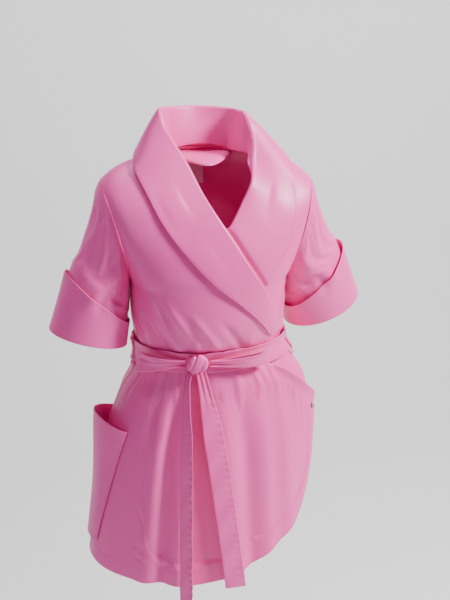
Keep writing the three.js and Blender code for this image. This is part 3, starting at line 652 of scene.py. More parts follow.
def studio_paint(name, colour):
    """Pale paint, seen through from behind so that the wall hides no side of the gown."""
    finish = Finish(name)
    place = finish.place()
    cloud = finish.noise(place, 1.3, 3.0)
    face = finish.blend(cloud, shade(colour, 0.97), shade(colour, 1.0))
    behind = finish.node("ShaderNodeNewGeometry", {}, output=6)
    return finish.set(Base_Color=face, Roughness=0.75 + cloud * 0.1, Alpha=1 - behind)


def finish_of(kind):
    """The scene's finishes by kind, each made when it is first asked for."""
    colours = bpy.context.scene.gown_colours
    makers = {
        "gown_cotton": lambda: satin_cotton(kind, colours.cloth),
        "facing_cotton": lambda: satin_cotton(kind, [c * 0.94 for c in colours.cloth], sheen=0.05),
        "tape": lambda: woven_tape(kind, colours.tape),
        "plated_metal": lambda: plated_metal(kind, colours.metal),
        # the thread finish carries painted shade: its colour is the thread's own, deepened to stand in for
        # the shade along the stitched seams
        "thread": lambda: sewing_thread(kind, colours.thread),
        "studio_paint": lambda: studio_paint(kind, colours.studio),
    }
    return bpy.data.materials.get(kind) or makers[kind]()


# ---- settings -------------------------------------------------------------------------------
class GownSizes(bpy.types.PropertyGroup):
    cloth: bpy.props.FloatProperty(
        name="Cloth", description="Thickness of a made-up panel", default=0.0014, unit="LENGTH")
    strap: bpy.props.FloatProperty(
        name="Belt cloth", description="Thickness of the belt, bow and tails", default=0.0018, unit="LENGTH")
    cloth_stiffness: bpy.props.FloatProperty(
        name="Stiffness", description="How hard the cloth is to bend", default=1.6)
    stitch_pitch: bpy.props.FloatProperty(
        name="Stitch pitch", description="From one stitch to the next", default=0.0034, unit="LENGTH")
    stitch_length: bpy.props.FloatProperty(
        name="Stitch length", description="Length of thread that shows", default=0.0025, unit="LENGTH")
    thread: bpy.props.FloatProperty(
        name="Thread", description="Width of the thread", default=0.00080, unit="LENGTH")


class GownColours(bpy.types.PropertyGroup):
    cloth: bpy.props.FloatVectorProperty(
        name="Cloth", description="Colour of the cotton", subtype="COLOR", default=(0.90, 0.085, 0.405))
    # painted shade, in part: the stitching is the thread's own dark pink, deepened further to stand in for
    # the shade in the stitched seam's groove
    thread: bpy.props.FloatVectorProperty(
        name="Thread", description="Colour of the stitching", subtype="COLOR", default=(0.58, 0.040, 0.17))
    tape: bpy.props.FloatVectorProperty(
        name="Tape", description="Colour of the loop and label", subtype="COLOR", default=(0.90, 0.62, 0.72))
    metal: bpy.props.FloatVectorProperty(
        name="Stud", description="Colour of the press stud", subtype="COLOR", default=(0.55, 0.40, 0.39))
    studio: bpy.props.FloatVectorProperty(
        name="Studio", description="Colour of the floor and wall", subtype="COLOR",
        default=(0.90, 0.90, 0.91))


# ---- panels ---------------------------------------------------------------------------------
UPPER_V = np.concatenate([[0.105, 0.150, 0.190], np.linspace(0.225, 0.995, 46)])
BODICE_H = np.linspace(height_of(UNDER_BELT), -0.0005, 30)


def rows_between(from_phi, to_phi, heights, count):
    """A grid whose rows run from one angle to another at each height."""
    share = np.linspace(0, 1, count)
    first, last = (np.broadcast_to(phi, len(heights))[:, None] for phi in (from_phi, to_phi))
    phi = first * (1 - share) + last * share
    return phi, np.repeat(np.asarray(heights)[:, None], count, axis=1)


def skirt_grid(from_phi, to_phi, hem, top, columns, rows):
    phi = np.linspace(from_phi, to_phi, columns)
    t = np.linspace(0, 1, rows)[:, None]
    z = lerp(hem(phi)[None, :], (top(phi) if callable(top) else np.full(columns, top))[None, :], t)
    return np.broadcast_to(phi, z.shape), z


def edge_distance(points):
    """Distance of each point of a grid to the ends of its row and column."""
    u, v = arc_lengths(points, 1), arc_lengths(points, 0)
    return np.minimum(np.minimum(u, u[:, -1:] - u), np.minimum(v, v[-1:] - v))


class GOWN_OT_back(bpy.types.Operator):
    """The back panel, from the hem to the neck."""
    bl_idname = "gown.back"
    bl_label = "Back"

    def execute(self, context):
        sizes = context.scene.gown_sizes
        phi, z = skirt_grid(90, 270, back_hem, UNDER_BELT - 0.001, 92, 70)
        skirt = on_body_z(phi, z, 0)
        phi, h = rows_between(90.0, 270.0, BODICE_H, 92)
        bodice = on_body(phi, h, 0)
        phi, h = rows_between(90.0, 270.0, UPPER_V, 92)
        chest = on_body(phi, back_neckline(phi, h), 0)
        points = np.concatenate([skirt, bodice, chest])
        free = smooth((edge_distance(points) - 0.02) / 0.05)
        free = free * smooth((np.abs(points[..., 2] - WAIST_Z) - 0.03) / 0.05)
        piece = cloth_piece("back_panel_cloth", points, finish_of("gown_cotton"), sizes.cloth, free=free)
        carry(piece, "root", "back_panel")
        declare((0.60, 0.87), 0.73)
        return {"FINISHED"}


class GOWN_OT_left_front(bpy.types.Operator):
    """The under front, from the hem to the shoulder."""
    bl_idname = "gown.left_front"
    bl_label = "Under front"

    def execute(self, context):
        sizes = context.scene.gown_sizes
        phi, z = skirt_grid(UNDER_EDGE, 90, under_hem, UNDER_BELT - 0.001, 76, 70)
        skirt = on_body_z(phi, z, 0)
        edge = np.maximum(bodice_edge(BODICE_H + UNDERARM_Z, -1), UNDER_EDGE)
        bodice = on_body(*rows_between(edge, 90.0, BODICE_H, 76), 0)
        chest = on_body(*rows_between(chest_edge(UPPER_V, -1), 90.0, UPPER_V, 76), 0)
        piece = cloth_piece("left_front_cloth", np.concatenate([skirt, bodice, chest]),
                            finish_of("gown_cotton"), sizes.cloth)
        carry(piece, "root", "left_front")
        declare((0.48, 0.80), 0.67)
        return {"FINISHED"}


def edge_puckers(points, reach=0.022, wave=0.017, height=0.0024):
    """Small ripples that the stitching draws up along the last column of a grid."""
    inward = arc_lengths(points[:, ::-1], 1)[:, ::-1]
    along = arc_lengths(points, 0)
    ripple = np.sin(along[:, -1:] * 2 * math.pi / wave + 0.8 * np.sin(along[:, -1:] * 70))
    return height * ripple * bump(inward / reach) * np.ones_like(inward)


class GOWN_OT_right_front(bpy.types.Operator):
    """The over front: its bodice, and its skirt with the overlap that opens."""
    bl_idname = "gown.right_front"
    bl_label = "Over front"

    def execute(self, context):
        sizes = context.scene.gown_sizes
        phi, h = rows_between(-90.0, bodice_edge(BODICE_H + UNDERARM_Z, 1), BODICE_H, 76)
        bodice = on_body(phi, h, over_layer(phi))
        phi, h = rows_between(-90.0, chest_edge(UPPER_V, 1), UPPER_V, 76)
        points = np.concatenate([bodice, on_body(phi, h, over_layer(phi))])
        top = cloth_piece("right_front_bodice", points, finish_of("gown_cotton"), sizes.cloth)
        carry(top, "root", "right_front")
        declare((0.34, 0.39), 0.71)
        phi, z = skirt_grid(-90, FLAP_EDGE, right_hem, skirt_top, 130, 84)
        off = over_layer(phi) + FLAP_STAND * smooth((phi - 30) / 30)
        below_top = skirt_top(phi) - z
        gape = smooth((phi - 38) / 12) * smooth((FLAP_EDGE - phi) / 9) * bump(below_top / 0.015)
        off = off + FLAP_GAPE * gape
        points = on_body_z(phi, z, off)
        points = points + grid_normals(points) * edge_puckers(points)[..., None]
        free = smooth((edge_distance(points) - 0.012) / 0.05) * smooth((WAIST_Z - 0.03 - z) / 0.06)
        free = free * smooth((phi + 60) / 25)
        skirt = cloth_piece("right_front_skirt", points, finish_of("gown_cotton"), sizes.cloth, free=free)
        carry_bent(skirt, "overlap", OVERLAP_BEND, "overlap_flap", "right_front")
        declare((0.58, 0.45), 0.80)
        return {"FINISHED"}


# ---- sleeves --------------------------------------------------------------------------------
def sleeve_oval(arm, s):
    s = np.asarray(s, float)[..., None]
    centre = np.array([arm.side * (arm.tip_x + arm.under_x) / 2, 0, (arm.tip_z + UNDERARM_Z) / 2])
    to_tip = np.array([arm.side * (arm.tip_x - arm.under_x) / 2, 0, (arm.tip_z - UNDERARM_Z) / 2])
    outward = unit(np.array([arm.side * to_tip[2], 0, -arm.side * to_tip[0]]))
    centre = centre + outward * SLEEVE_SET_IN
    foot = centre + np.array([arm.side * arm.out, arm.forward, -arm.length])
    foot_tip = arm.cuff_half * np.array([arm.side * math.cos(arm.cuff_tilt), 0, math.sin(arm.cuff_tilt)])
    foot_back = CUFF_HALF_THICK * np.array(
        [-arm.side * math.sin(arm.cuff_tilt) * math.sin(arm.turn), math.cos(arm.turn), math.sin(arm.turn)])
    to_back = np.array([0, ARMHOLE_DEPTH, 0])
    return lerp(centre, foot, s), lerp(to_tip, foot_tip, s), lerp(to_back, foot_back, s)


# angle at the top and at the bottom, share of the sleeve where each starts and ends, width, relief
SLEEVE_FOLDS = (
    (2.0, 1.1, 0.05, 0.62, 0.16, 0.0050), (2.5, 1.75, 0.02, 0.58, 0.15, -0.0040),
    (-2.1, -1.2, 0.05, 0.66, 0.17, 0.0055), (-2.6, -1.9, 0.02, 0.55, 0.14, -0.0042),
    (-1.2, -0.5, 0.02, 0.34, 0.15, 0.0034), (1.3, 0.7, 0.02, 0.32, 0.15, 0.0030),
    (-1.7, -1.5, 0.30, 0.70, 0.13, -0.0032), (3.14, 3.0, 0.10, 0.70, 0.22, 0.0046),
)


def sleeve_relief(angle, s):
    """Folds of a sleeve: soft drags that fan out from the underarm, and a dent behind the cuff."""
    lift = np.zeros(np.broadcast(angle, s).shape)
    for start, end, low, high, width, height in SLEEVE_FOLDS:
        t = (s - low) / (high - low)
        turn = (angle - lerp(start, end, t) + math.pi) % (2 * math.pi) - math.pi
        lift = lift + height * smooth(t * 4) * smooth((1.2 - t) * 2.5) * bump(turn / width)
    return lift


def sleeve_points(arm, angle, s, off):
    angle, s, off = np.broadcast_arrays(angle, s, off)
    centre, to_tip, to_back = sleeve_oval(arm, s)
    off = (off + sleeve_relief(angle, s))[..., None]
    tip = to_tip + unit(to_tip) * off
    back = to_back + unit(to_back) * off
    return centre + tip * np.cos(angle)[..., None] + back * np.sin(angle)[..., None]


class GOWN_OT_sleeves(bpy.types.Operator):
    """Both sleeves with their turned-up cuffs."""
    bl_idname = "gown.sleeves"
    bl_label = "Sleeves"

    def execute(self, context):
        sizes = context.scene.gown_sizes
        angle = np.linspace(0, 2 * math.pi, 96, endpoint=False)[None, :]
        for arm in (RIGHT_ARM, LEFT_ARM):
            body = arm.name + "_sleeve"
            s = np.linspace(0, 1, 52)[:, None]
            points = sleeve_points(arm, angle, s, 0.0015 * np.sin(math.pi * np.clip(s * 6, 0, 1)))
            free = smooth(s * 7) * smooth((0.62 - s) * 6) * np.ones_like(angle)
            tube = cloth_piece(arm.name + "_sleeve_cloth", points, finish_of("gown_cotton"), sizes.cloth,
                               ring=True, free=free, growth=0.03, limit=0.006)
            run = math.hypot(arm.out, arm.forward, arm.length) + 0.040
            start = 1 - CUFF_DEPTH / run
            turn = np.linspace(0, math.pi, 8)[1:-1]
            stand = LAYER + arm.cuff_stand * np.linspace(0, 1, 26) ** 1.4
            rim = 0.0022 * np.sin(angle * 2 + 0.6) + 0.0014 * np.sin(angle * 5 + 1.0)
            inner = np.array([[0.985, -0.0018], [1.0, -0.0018]])
            fold = np.stack([1 + 0.010 * np.sin(turn), lerp(-0.0018, LAYER, (1 - np.cos(turn)) / 2)], -1)
            outer = np.stack([np.linspace(1, start, 26), stand], -1)
            path = np.concatenate([inner, fold, outer])
            ripple = np.clip((1 - path[:, :1]) / (1 - start), 0, 1) ** 2 * rim
            points = sleeve_points(arm, angle, path[:, :1], path[:, 1:] + ripple)
            cuff = cloth_piece(arm.name + "_cuff_cloth", points, finish_of("gown_cotton"), sizes.cloth * 1.3,
                               ring=True)
            for piece, node in ((tube, arm.name + "_sleeve"), (cuff, arm.name + "_cuff")):
                carry_bent(piece, body, arm.bend(), node)
            declare((0.51, 0.215), 0.93)
            declare((0.47, 0.110))
        return {"FINISHED"}


# ---- collar ---------------------------------------------------------------------------------
COLLAR_FOLD = 0.0042
ON_CHEST = 2 * LAYER + EDGE_STAND + 0.001
BACK_SEAM_V = 0.995
COLLAR_TUCK = np.array([-0.014, 0, -0.011])   # how far the under collar carries on out of sight
TUCKED_OFF = 0.0018


def neck_seam(phi):
    phi = np.float64(phi)
    return on_body(phi, back_neckline(phi, BACK_SEAM_V), 0) + np.array([0, -0.0012, -0.0030])


def on_chest(x, z, off=ON_CHEST):
    return on_front(x, z, off)


def on_roll(x, z, base):
    return on_front(x, z, base + COLLAR_FOLD + 0.001)


def collar_stations():
    """Stations of the whole collar, from the over front's end round the neck to the under front's.

    Each is seam, roll and outer edge, and how far the front beneath stands off the body.
    """
    a = np.array
    right = [
        (None, on_roll(0.125, -0.338, LAYER), on_chest(0.108, -0.349)),
        (None, on_roll(0.118, -0.320, LAYER), on_chest(0.096, -0.333)),
        (None, on_roll(0.106, -0.288, LAYER), on_chest(0.076, -0.306)),
        (None, on_roll(0.088, -0.243, LAYER), on_chest(0.038, -0.268)),
        (None, on_roll(0.059, -0.196, LAYER), on_chest(-0.008, -0.228)),
        (None, on_roll(0.027, -0.143, LAYER), on_chest(-0.048, -0.186)),
        (None, on_roll(0.000, -0.100, LAYER), on_chest(-0.084, -0.140)),
        (None, a([-0.021, -0.076, -0.058]), on_chest(-0.108, -0.100)),
        (a([-0.058, -0.046, -0.026]), a([-0.042, -0.046, -0.010]), on_chest(-0.124, -0.066)),
        (a([-0.072, -0.024, -0.006]), a([-0.064, -0.026, 0.029]), on_chest(-0.137, -0.038)),
        (a([-0.080, -0.010, 0.001]), a([-0.079, -0.008, 0.056]), on_chest(-0.142, -0.022)),
        (neck_seam(200), a([-0.084, 0.010, 0.085]), a([-0.137, 0.008, 0.002])),
        (neck_seam(197), a([-0.074, 0.038, 0.084]), a([-0.118, 0.058, 0.002])),
        (neck_seam(193), a([-0.052, 0.062, 0.081]), a([-0.080, 0.092, -0.014])),
        (neck_seam(180), a([0, 0.082, 0.078]), a([0, 0.106, -0.024])),
    ]
    left = [
        (neck_seam(167), a([0.058, 0.064, 0.075]), a([0.090, 0.092, -0.014])),
        (neck_seam(163), a([0.076, 0.040, 0.073]), a([0.134, 0.060, -0.002])),
        (neck_seam(160), a([0.083, 0.012, 0.070]), a([0.161, 0.008, -0.006])),
        (a([0.083, -0.012, -0.004]), a([0.092, -0.014, 0.026]), on_chest(0.164, -0.040)),
        (a([0.077, -0.036, -0.016]), a([0.087, -0.040, -0.012]), on_chest(0.164, -0.078)),
        (None, a([0.076, -0.071, -0.045]), on_chest(0.157, -0.118)),
        (None, on_roll(0.056, -0.080, 0), on_chest(0.143, -0.165)),
        (None, on_roll(0.038, -0.106, 0), on_chest(0.118, -0.202)),
        (None, on_roll(0.026, -0.122, 0), on_chest(0.096, -0.232)),
    ]
    return [station + (LAYER,) for station in right] + [station + (0.0,) for station in left]


def clear_of_front(points, off):
    """Moves points forward where they would lie inside the chest."""
    resting = on_front(points[:, 0], points[:, 2], off)
    buried = (points[:, 2] < shoulder_z(points[:, 0]) - 0.014) & (points[:, 1] > resting[:, 1])
    return np.where(buried[:, None], resting, points)


def collar_section(seam, roll, edge, base):
    to_edge = unit(edge - roll)
    inset = SEAM_INSET - 0.0048
    hidden = seam if seam is not None else on_front(
        roll[0] + to_edge[0] * inset, roll[2] + to_edge[2] * inset, base + 0.0008)
    to_seam = unit(hidden - roll)
    into = unit(to_edge + to_seam)
    out = unit(to_edge - into * np.dot(to_edge, into))
    turn = np.radians(np.linspace(-80, 80, 9))[:, None]
    fold = roll + into * COLLAR_FOLD * (1 - np.cos(turn)) + out * COLLAR_FOLD * np.sin(turn)
    under = lerp(hidden, fold[0], np.linspace(0, 1, 5)[:-1, None])
    t = np.linspace(0, 1, 15)[1:, None]
    crown = 0.0045 * np.sin(math.pi * np.clip(t * 1.05, 0, 1)) ** 1.3
    fall = lerp(fold[-1], edge, t) - into * crown
    return np.concatenate([under, fold, clear_of_front(fall, ON_CHEST)])


def through(sections, per_span):
    """A Catmull-Rom surface through a list of point rows."""
    rows = np.stack([2 * sections[0] - sections[1], *sections, 2 * sections[-1] - sections[-2]])
    made = []
    for i in range(1, len(rows) - 2):
        p0, p1, p2, p3 = rows[i - 1], rows[i], rows[i + 1], rows[i + 2]
        for t in np.linspace(0, 1, per_span, endpoint=False):
            made.append(0.5 * (2 * p1 + (p2 - p0) * t + (2 * p0 - 5 * p1 + 4 * p2 - p3) * t * t
                               + (3 * p1 - p0 - 3 * p2 + p3) * t ** 3))
    return np.stack([*made, rows[-2]])


class GOWN_OT_collar(bpy.types.Operator):
    """The shawl collar, in one run from front to front."""
    bl_idname = "gown.collar"
    bl_label = "Collar"

    def execute(self, context):
        sizes = context.scene.gown_sizes
        sections = [collar_section(*station) for station in collar_stations()]
        for share in (0.5, 1.0):
            tucked = sections[-1] + COLLAR_TUCK * share
            flat = on_front(tucked[:, 0], tucked[:, 2], TUCKED_OFF)
            sections.append(lerp(tucked, flat, share) if share < 1 else flat)
        points = through(sections, 8)
        piece = cloth_piece("shawl_collar", points, finish_of("gown_cotton"), sizes.cloth * 1.5)
        carry(piece, "root", "collar_right", "collar_left")
        declare((1.05, 0.18), 0.66)
        return {"FINISHED"}


# ---- belt -----------------------------------------------------------------------------------
BELT_OFF = 2 * LAYER + EDGE_STAND
KNOT_PHI = -15
KNOT = (0.041, 0.022, 0.037)   # wide, thick, tall
KNOT_SEAT = 0.0023
KNOT_REACH = 7                 # degrees over which the knot draws the belt together
CARRIER_WIDTH = 0.018
CARRIER_RADIUS = 0.156         # of the waist where the carriers are
CARRIER_PHI = {"right": -86, "left": 80}


class GOWN_OT_belt(bpy.types.Operator):
    """The belt round the waist, its carriers and its knot."""
    bl_idname = "gown.belt"
    bl_label = "Belt"

    def execute(self, context):
        sizes = context.scene.gown_sizes
        phi = np.arange(-180, 180, 2.0)[None, :]
        v = np.linspace(-1, 1, 19)[:, None]
        pull = bump((phi - KNOT_PHI) / KNOT_REACH)
        z = WAIST_Z + v * BELT_WIDTH / 2 * (1 - 0.16 * pull)
        pleats = 0.0008 * pull * np.cos(v * 8) + 0.0007 * np.sin(v * 4 + phi / 16) * (1 - pull)
        curl = 0.0007 * np.abs(v) ** 6
        points = on_body_z(phi * np.ones_like(v), z, BELT_OFF + pleats + 0.0008 - curl)
        band = cloth_piece("belt_band_cloth", points, finish_of("gown_cotton"), sizes.strap, ring=True)
        carry(band, "root", "belt_band")
        declare((0.84, BELT_WIDTH), 0.97)
        for side, phi0 in CARRIER_PHI.items():
            self.carrier(side, phi0)
        self.knot()
        return {"FINISHED"}

    def carrier(self, side, phi0):
        half = BELT_WIDTH / 2
        foot, reach = LAYER + 0.0026, BELT_OFF + 0.0031
        path = table([(-half - 0.011, foot), (-half - 0.004, foot + 0.0008), (0.002 - half, reach + 0.001),
                      (0, reach + 0.0004), (half - 0.002, reach + 0.001), (half + 0.004, foot + 0.0008),
                      (half + 0.011, foot)])
        dz = np.linspace(-half - 0.011, half + 0.011, 40)[:, None]
        spread = math.degrees(CARRIER_WIDTH / CARRIER_RADIUS)
        phi = phi0 + spread * (np.linspace(0, 1, 7)[None, :] - 0.5)
        points = on_body_z(phi * np.ones_like(dz), WAIST_Z + dz, path(dz) * np.ones_like(phi))
        piece = cloth_piece("belt_carrier_%s_cloth" % side, points, finish_of("gown_cotton"), 0.0014)
        carry(piece, "root", "belt_carrier_" + side)
        declare((CARRIER_WIDTH, 0.078))

    def knot(self):
        """The knot is a strap wound over the crossing: a full form creased along the winding."""
        wide, thick, tall = KNOT
        around = np.linspace(0, 2 * math.pi, 72, endpoint=False)[None, :]
        across = np.linspace(-1, 1, 41)[:, None]
        bulge = np.clip(1 - np.abs(across) ** 3.2, 0, 1) ** 0.42
        wind = across - 0.35 * np.cos(around)
        crease = (0.05 * np.cos(wind * 4.2 + 0.8) - 0.17 * bump((wind + 0.42) / 0.10)
                  - 0.13 * bump((wind - 0.46) / 0.09) + 0.05 * np.sin(around * 3 + across * 2))
        size = bulge * (1 + crease * smooth((1 - np.abs(across)) * 3))
        skew = 0.12 * tall * across
        local = stack(across * wide / 2 * (1 + 0.05 * np.sin(around)), thick / 2 * np.sin(around) * size,
                      tall / 2 * np.cos(around) * size * (1 - 0.14 * across * across) + skew * 0.4)
        normal = body_normal(np.float64(KNOT_PHI), np.float64(height_of(WAIST_Z)))
        off = BELT_OFF + 0.0012 + KNOT_SEAT + thick / 2
        centre = bare_point(KNOT_PHI, height_of(WAIST_Z)) + normal * off
        side = unit(np.cross(normal, [0, 0, 1.0])) * -1
        up = np.array([0, 0, 1.0])
        points = centre + local[..., :1] * side + local[..., 1:2] * normal + local[..., 2:] * up
        piece = grid_object("belt_knot_cloth", points, ring=True)
        seal = bmesh.new()
        seal.from_mesh(piece.data)
        bmesh.ops.holes_fill(seal, edges=[e for e in seal.edges if e.is_boundary])
        bmesh.ops.remove_doubles(seal, verts=seal.verts, dist=1e-5)
        bmesh.ops.recalc_face_normals(seal, faces=seal.faces)
        seal.to_mesh(piece.data)
        seal.free()
        soft = piece.modifiers.new("Smooth", "SUBSURF")
        soft.levels = soft.render_levels = 1
        piece.data.materials.append(finish_of("gown_cotton"))
        carry(piece, "root", "belt_knot")


# side, body, angle at the knot and at the end, height there, drop of the end, flat size of the strap
BOWS = (
    ("right", "bow_right", -24, -61, 0.021, 0.060, -0.004, (0.18, 0.060)),
    ("left", "bow_left", -6, 37, 0.021, 0.050, 0.003, (0.20, 0.050)),
)
BOW_SHARE = 0.82
BOW_GAP = 0.0045               # how far a loop's two layers part
BOW_LIFT = 0.0120              # how far its end stands off the belt


class GOWN_OT_bow(bpy.types.Operator):
    """The two loops of the bow, each the strap turned back on itself."""
    bl_idname = "gown.bow"
    bl_label = "Bow"

    def execute(self, context):
        sizes = context.scene.gown_sizes
        around = np.linspace(0, 2 * math.pi, 110, endpoint=False)[None, :]
        v = np.linspace(-0.5, 0.5, 21)[:, None]
        for side, body, start, end, knot_tall, end_tall, drop, flat in BOWS:
            s = (1 - np.cos(around)) / 2
            full = np.sin(math.pi * np.clip(s * 0.80, 0, 1)) * (1 - 0.78 * np.abs(2 * v) ** 3)
            half = 0.0012 + BOW_GAP * full
            middle = BELT_OFF + 0.0042 + BOW_GAP * 0.8 + BOW_LIFT * smooth(s * 1.2)
            tall = lerp(knot_tall, end_tall, smooth(s * 1.05) ** 0.8)
            z = WAIST_Z + drop * s + tall * v
            pleat = 0.0030 * (1 - s) ** 2 * np.cos(v * 15 + 0.6) + 0.0010 * np.sin(v * 6 + 2 * s) * s
            off = middle + half * np.sin(around) + pleat
            phi = lerp(start, end, s) + 1.6 * np.sin(v * 4) * s
            points = on_body_z(phi, z, off)
            piece = cloth_piece("bow_loop_%s_cloth" % side, points, finish_of("gown_cotton"),
                                sizes.strap * 0.85, ring=True)
            carry(piece, body, "bow_loop_" + side)
            declare(flat, BOW_SHARE)
        return {"FINISHED"}


# side, body, x at the knot and at the end, z of the end, width, bow of its run, degrees it is turned
TAILS = (
    ("front", "tail_front", -0.033, 0.020, -0.848, 0.042, 0.85, 0),
    ("back", "tail_back", -0.0462, -0.078, -0.905, 0.034, 0.3, 55),
)
TAIL_GATHER = 0.5              # share of its width at the knot
TAIL_REST = 0.012              # how far it hangs off the front


class GOWN_OT_tails(bpy.types.Operator):
    """The belt's two hanging ends."""
    bl_idname = "gown.tails"
    bl_label = "Belt ends"

    def execute(self, context):
        sizes = context.scene.gown_sizes
        t = np.linspace(0, 1, 170)[:, None]
        w = np.linspace(-0.5, 0.5, 15)[None, :]
        top_z = WAIST_Z - KNOT[2] / 2 + 0.0014
        for side, body, top_x, end_x, end_z, width, sweep, turn in TAILS:
            z = lerp(top_z, end_z, t)
            x = lerp(top_x, end_x, t ** sweep)
            spread = lerp(TAIL_GATHER, 1, smooth(t * 3)) * width
            seat = on_front(x, np.maximum(z, HEM_Z), TAIL_REST)
            seat[..., 2] = z
            c, s = math.cos(math.radians(turn)), math.sin(math.radians(turn))
            across = np.array([c, -s, 0])
            points = seat + across * (w * spread)[..., None]
            points[..., 1] -= s * spread * 0.5
            pinch = (0.0022 * (1 - smooth(t * 5)) * np.cos(w * 15)
                     + 0.0009 * np.sin(t * 40 + w * 4) * smooth(t * 4))
            pinch = pinch + 0.0007 * np.sin(t * 190 + np.sin(t * 31)) * smooth((w - 0.05) * 3) * smooth(t * 5)
            normal = unit(np.cross(across, np.array([0, 0, 1.0])))
            points = points + normal * pinch[..., None]
            piece = cloth_piece("belt_tail_%s_cloth" % side, points, finish_of("gown_cotton"), sizes.strap)
            carry(piece, body, "belt_tail_" + side)
            declare((width, top_z - end_z), 0.95)
        return {"FINISHED"}


# ---- pocket ---------------------------------------------------------------------------------
MOUTH_Z, BOTTOM_Z, GAPE = -0.524, -0.790, 0.034
MOUTH_FRONT, MOUTH_BACK, BOTTOM_FRONT, BOTTOM_BACK = -58, -118, -76, -128
FRONT_DROP = 0.013
POCKET_BEND = ((-0.196, 0, 0), (-0.234, 0, 0))


def pocket_points(across, up, off):
    phi = lerp(lerp(BOTTOM_FRONT, MOUTH_FRONT, up), lerp(BOTTOM_BACK, MOUTH_BACK, up), across)
    mouth = MOUTH_Z - FRONT_DROP * (1 - smooth(across * 2.2)) - 0.006 * smooth((across - 0.6) * 2.5)
    z = lerp(BOTTOM_Z, mouth, up)
    arch = np.sin(math.pi * np.clip(across, 0, 1))
    gape = GAPE * np.maximum(arch, 0) ** 0.9 * (0.28 * up + 0.72 * up ** 3.2)
    belly = 0.005 * arch * (1 - up)
    sag = 0.0018 * np.sin(across * 9 + up * 3) * up * arch
    return on_body_z(phi, z, over_layer(phi) + LAYER + gape + belly + sag + off)


class GOWN_OT_pocket(bpy.types.Operator):
    """The hip pocket and the facing inside its mouth."""
    bl_idname = "gown.pocket"
    bl_label = "Pocket"

    def execute(self, context):
        sizes = context.scene.gown_sizes
        patch = pocket_points(np.linspace(0, 1, 60)[None, :], np.linspace(0, 1, 60)[:, None], 0)
        facing = pocket_points(np.linspace(0.04, 0.96, 50)[None, :], np.linspace(0.895, 0.997, 12)[:, None],
                               -0.0022)
        for name, node, points, thickness, finish, slot, flat in (
                ("pocket_patch_cloth", "pocket_patch", patch, sizes.cloth, "gown_cotton", "gown_cloth",
                 (0.19, 0.275)),
                ("pocket_facing_cloth", "pocket_mouth_facing", facing, FACING_CLOTH, "facing_cotton",
                 "facing_cloth", (0.18, 0.030))):
            piece = cloth_piece(name, points, finish_of(finish), thickness)
            carry_bent(piece, "pocket", POCKET_BEND, node, slot=slot)
            declare(flat, 0.92)
        return {"FINISHED"}


# ---- facings, tapes and press stud ----------------------------------------------------------
FACING_CLOTH, LOOP_TAPE, LABEL_TAPE = 0.0009, 0.0014, 0.0007   # thickness
SNAP_PHI, SNAP_Z = 72, -0.528


class GOWN_OT_facings(bpy.types.Operator):
    """The strips that line the overlap, the under front's edge and the back neck."""
    bl_idname = "gown.facings"
    bl_label = "Facings"

    def execute(self, context):
        phi, z = skirt_grid(FLAP_EDGE - 12, FLAP_EDGE - 0.4, lambda p: right_hem(p) + 0.001, -0.541, 12, 40)
        off = over_layer(phi) + FLAP_STAND - FACING_LAYER + 0.0004
        overlap = on_body_z(phi, z, off)
        phi, z = skirt_grid(UNDER_EDGE + 0.5, UNDER_EDGE + 12, lambda p: under_hem(p) + 0.002, -0.514, 12, 44)
        under = on_body_z(phi, z, -FACING_LAYER)
        phi, v = rows_between(160.0, 200.0, np.linspace(0.63, 0.955, 22), 26)
        neck = on_body(phi, back_neckline(phi, v), -FACING_LAYER)
        for name, node, points, body, flat, share in (
                ("overlap_facing_cloth", "overlap_facing", overlap, "overlap", (0.032, 0.12), 0.62),
                ("underlap_facing_cloth", "underlap_facing", under, "root", (0.042, 0.25), 0.75),
                ("back_neck_facing_cloth", "back_neck_facing", neck, "root", (0.145, 0.11), 0.95)):
            piece = cloth_piece(name, points, finish_of("facing_cotton"), FACING_CLOTH)
            carry(piece, body, node, slot="facing_cloth")
            declare(flat, share)
        return {"FINISHED"}


class GOWN_OT_tapes(bpy.types.Operator):
    """The loop to hang the gown by, and a blank care label."""
    bl_idname = "gown.tapes"
    bl_label = "Loop and label"

    def execute(self, context):
        low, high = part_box("hanger_loop")
        corner, strap = 0.004, 0.0016
        half, top, bottom = high.x - strap / 2, high.z, low.z + strap / 2
        turn = np.linspace(0, math.pi / 2, 8)
        left = [(-half, z) for z in np.linspace(top, bottom + corner, 8)[:-1]]
        bend = [(-half + corner * (1 - math.cos(a)), bottom + corner * (1 - math.sin(a))) for a in turn]
        run = [(x, bottom) for x in np.linspace(-half + corner, 0, 8)[1:]]
        path = left + bend + run
        path = np.array(path + [(-x, z) for x, z in path[-2::-1]])
        y = np.linspace(low.y, high.y, 6)
        points = stack(path[:, :1], y[None, :], path[:, 1:])
        loop = cloth_piece("hanger_loop_tape", points, finish_of("tape"), LOOP_TAPE)
        carry(loop, "hanger", "hanger_loop", slot="tape")
        low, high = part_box("care_label")
        x = np.linspace(low.x, high.x, 20)[None, :]
        z = np.linspace(low.z, high.z, 30)[:, None]
        lift = smooth((high.z - z) / (high.z - low.z))
        points = stack(x, (low.y + high.y) / 2 - 0.0012 * lift * np.cos(x * 90), z)
        label = cloth_piece("care_label_tape", points, finish_of("tape"), LABEL_TAPE)
        carry(label, "label", "care_label", slot="tape")
        declare((0.030, 0.044))
        return {"FINISHED"}


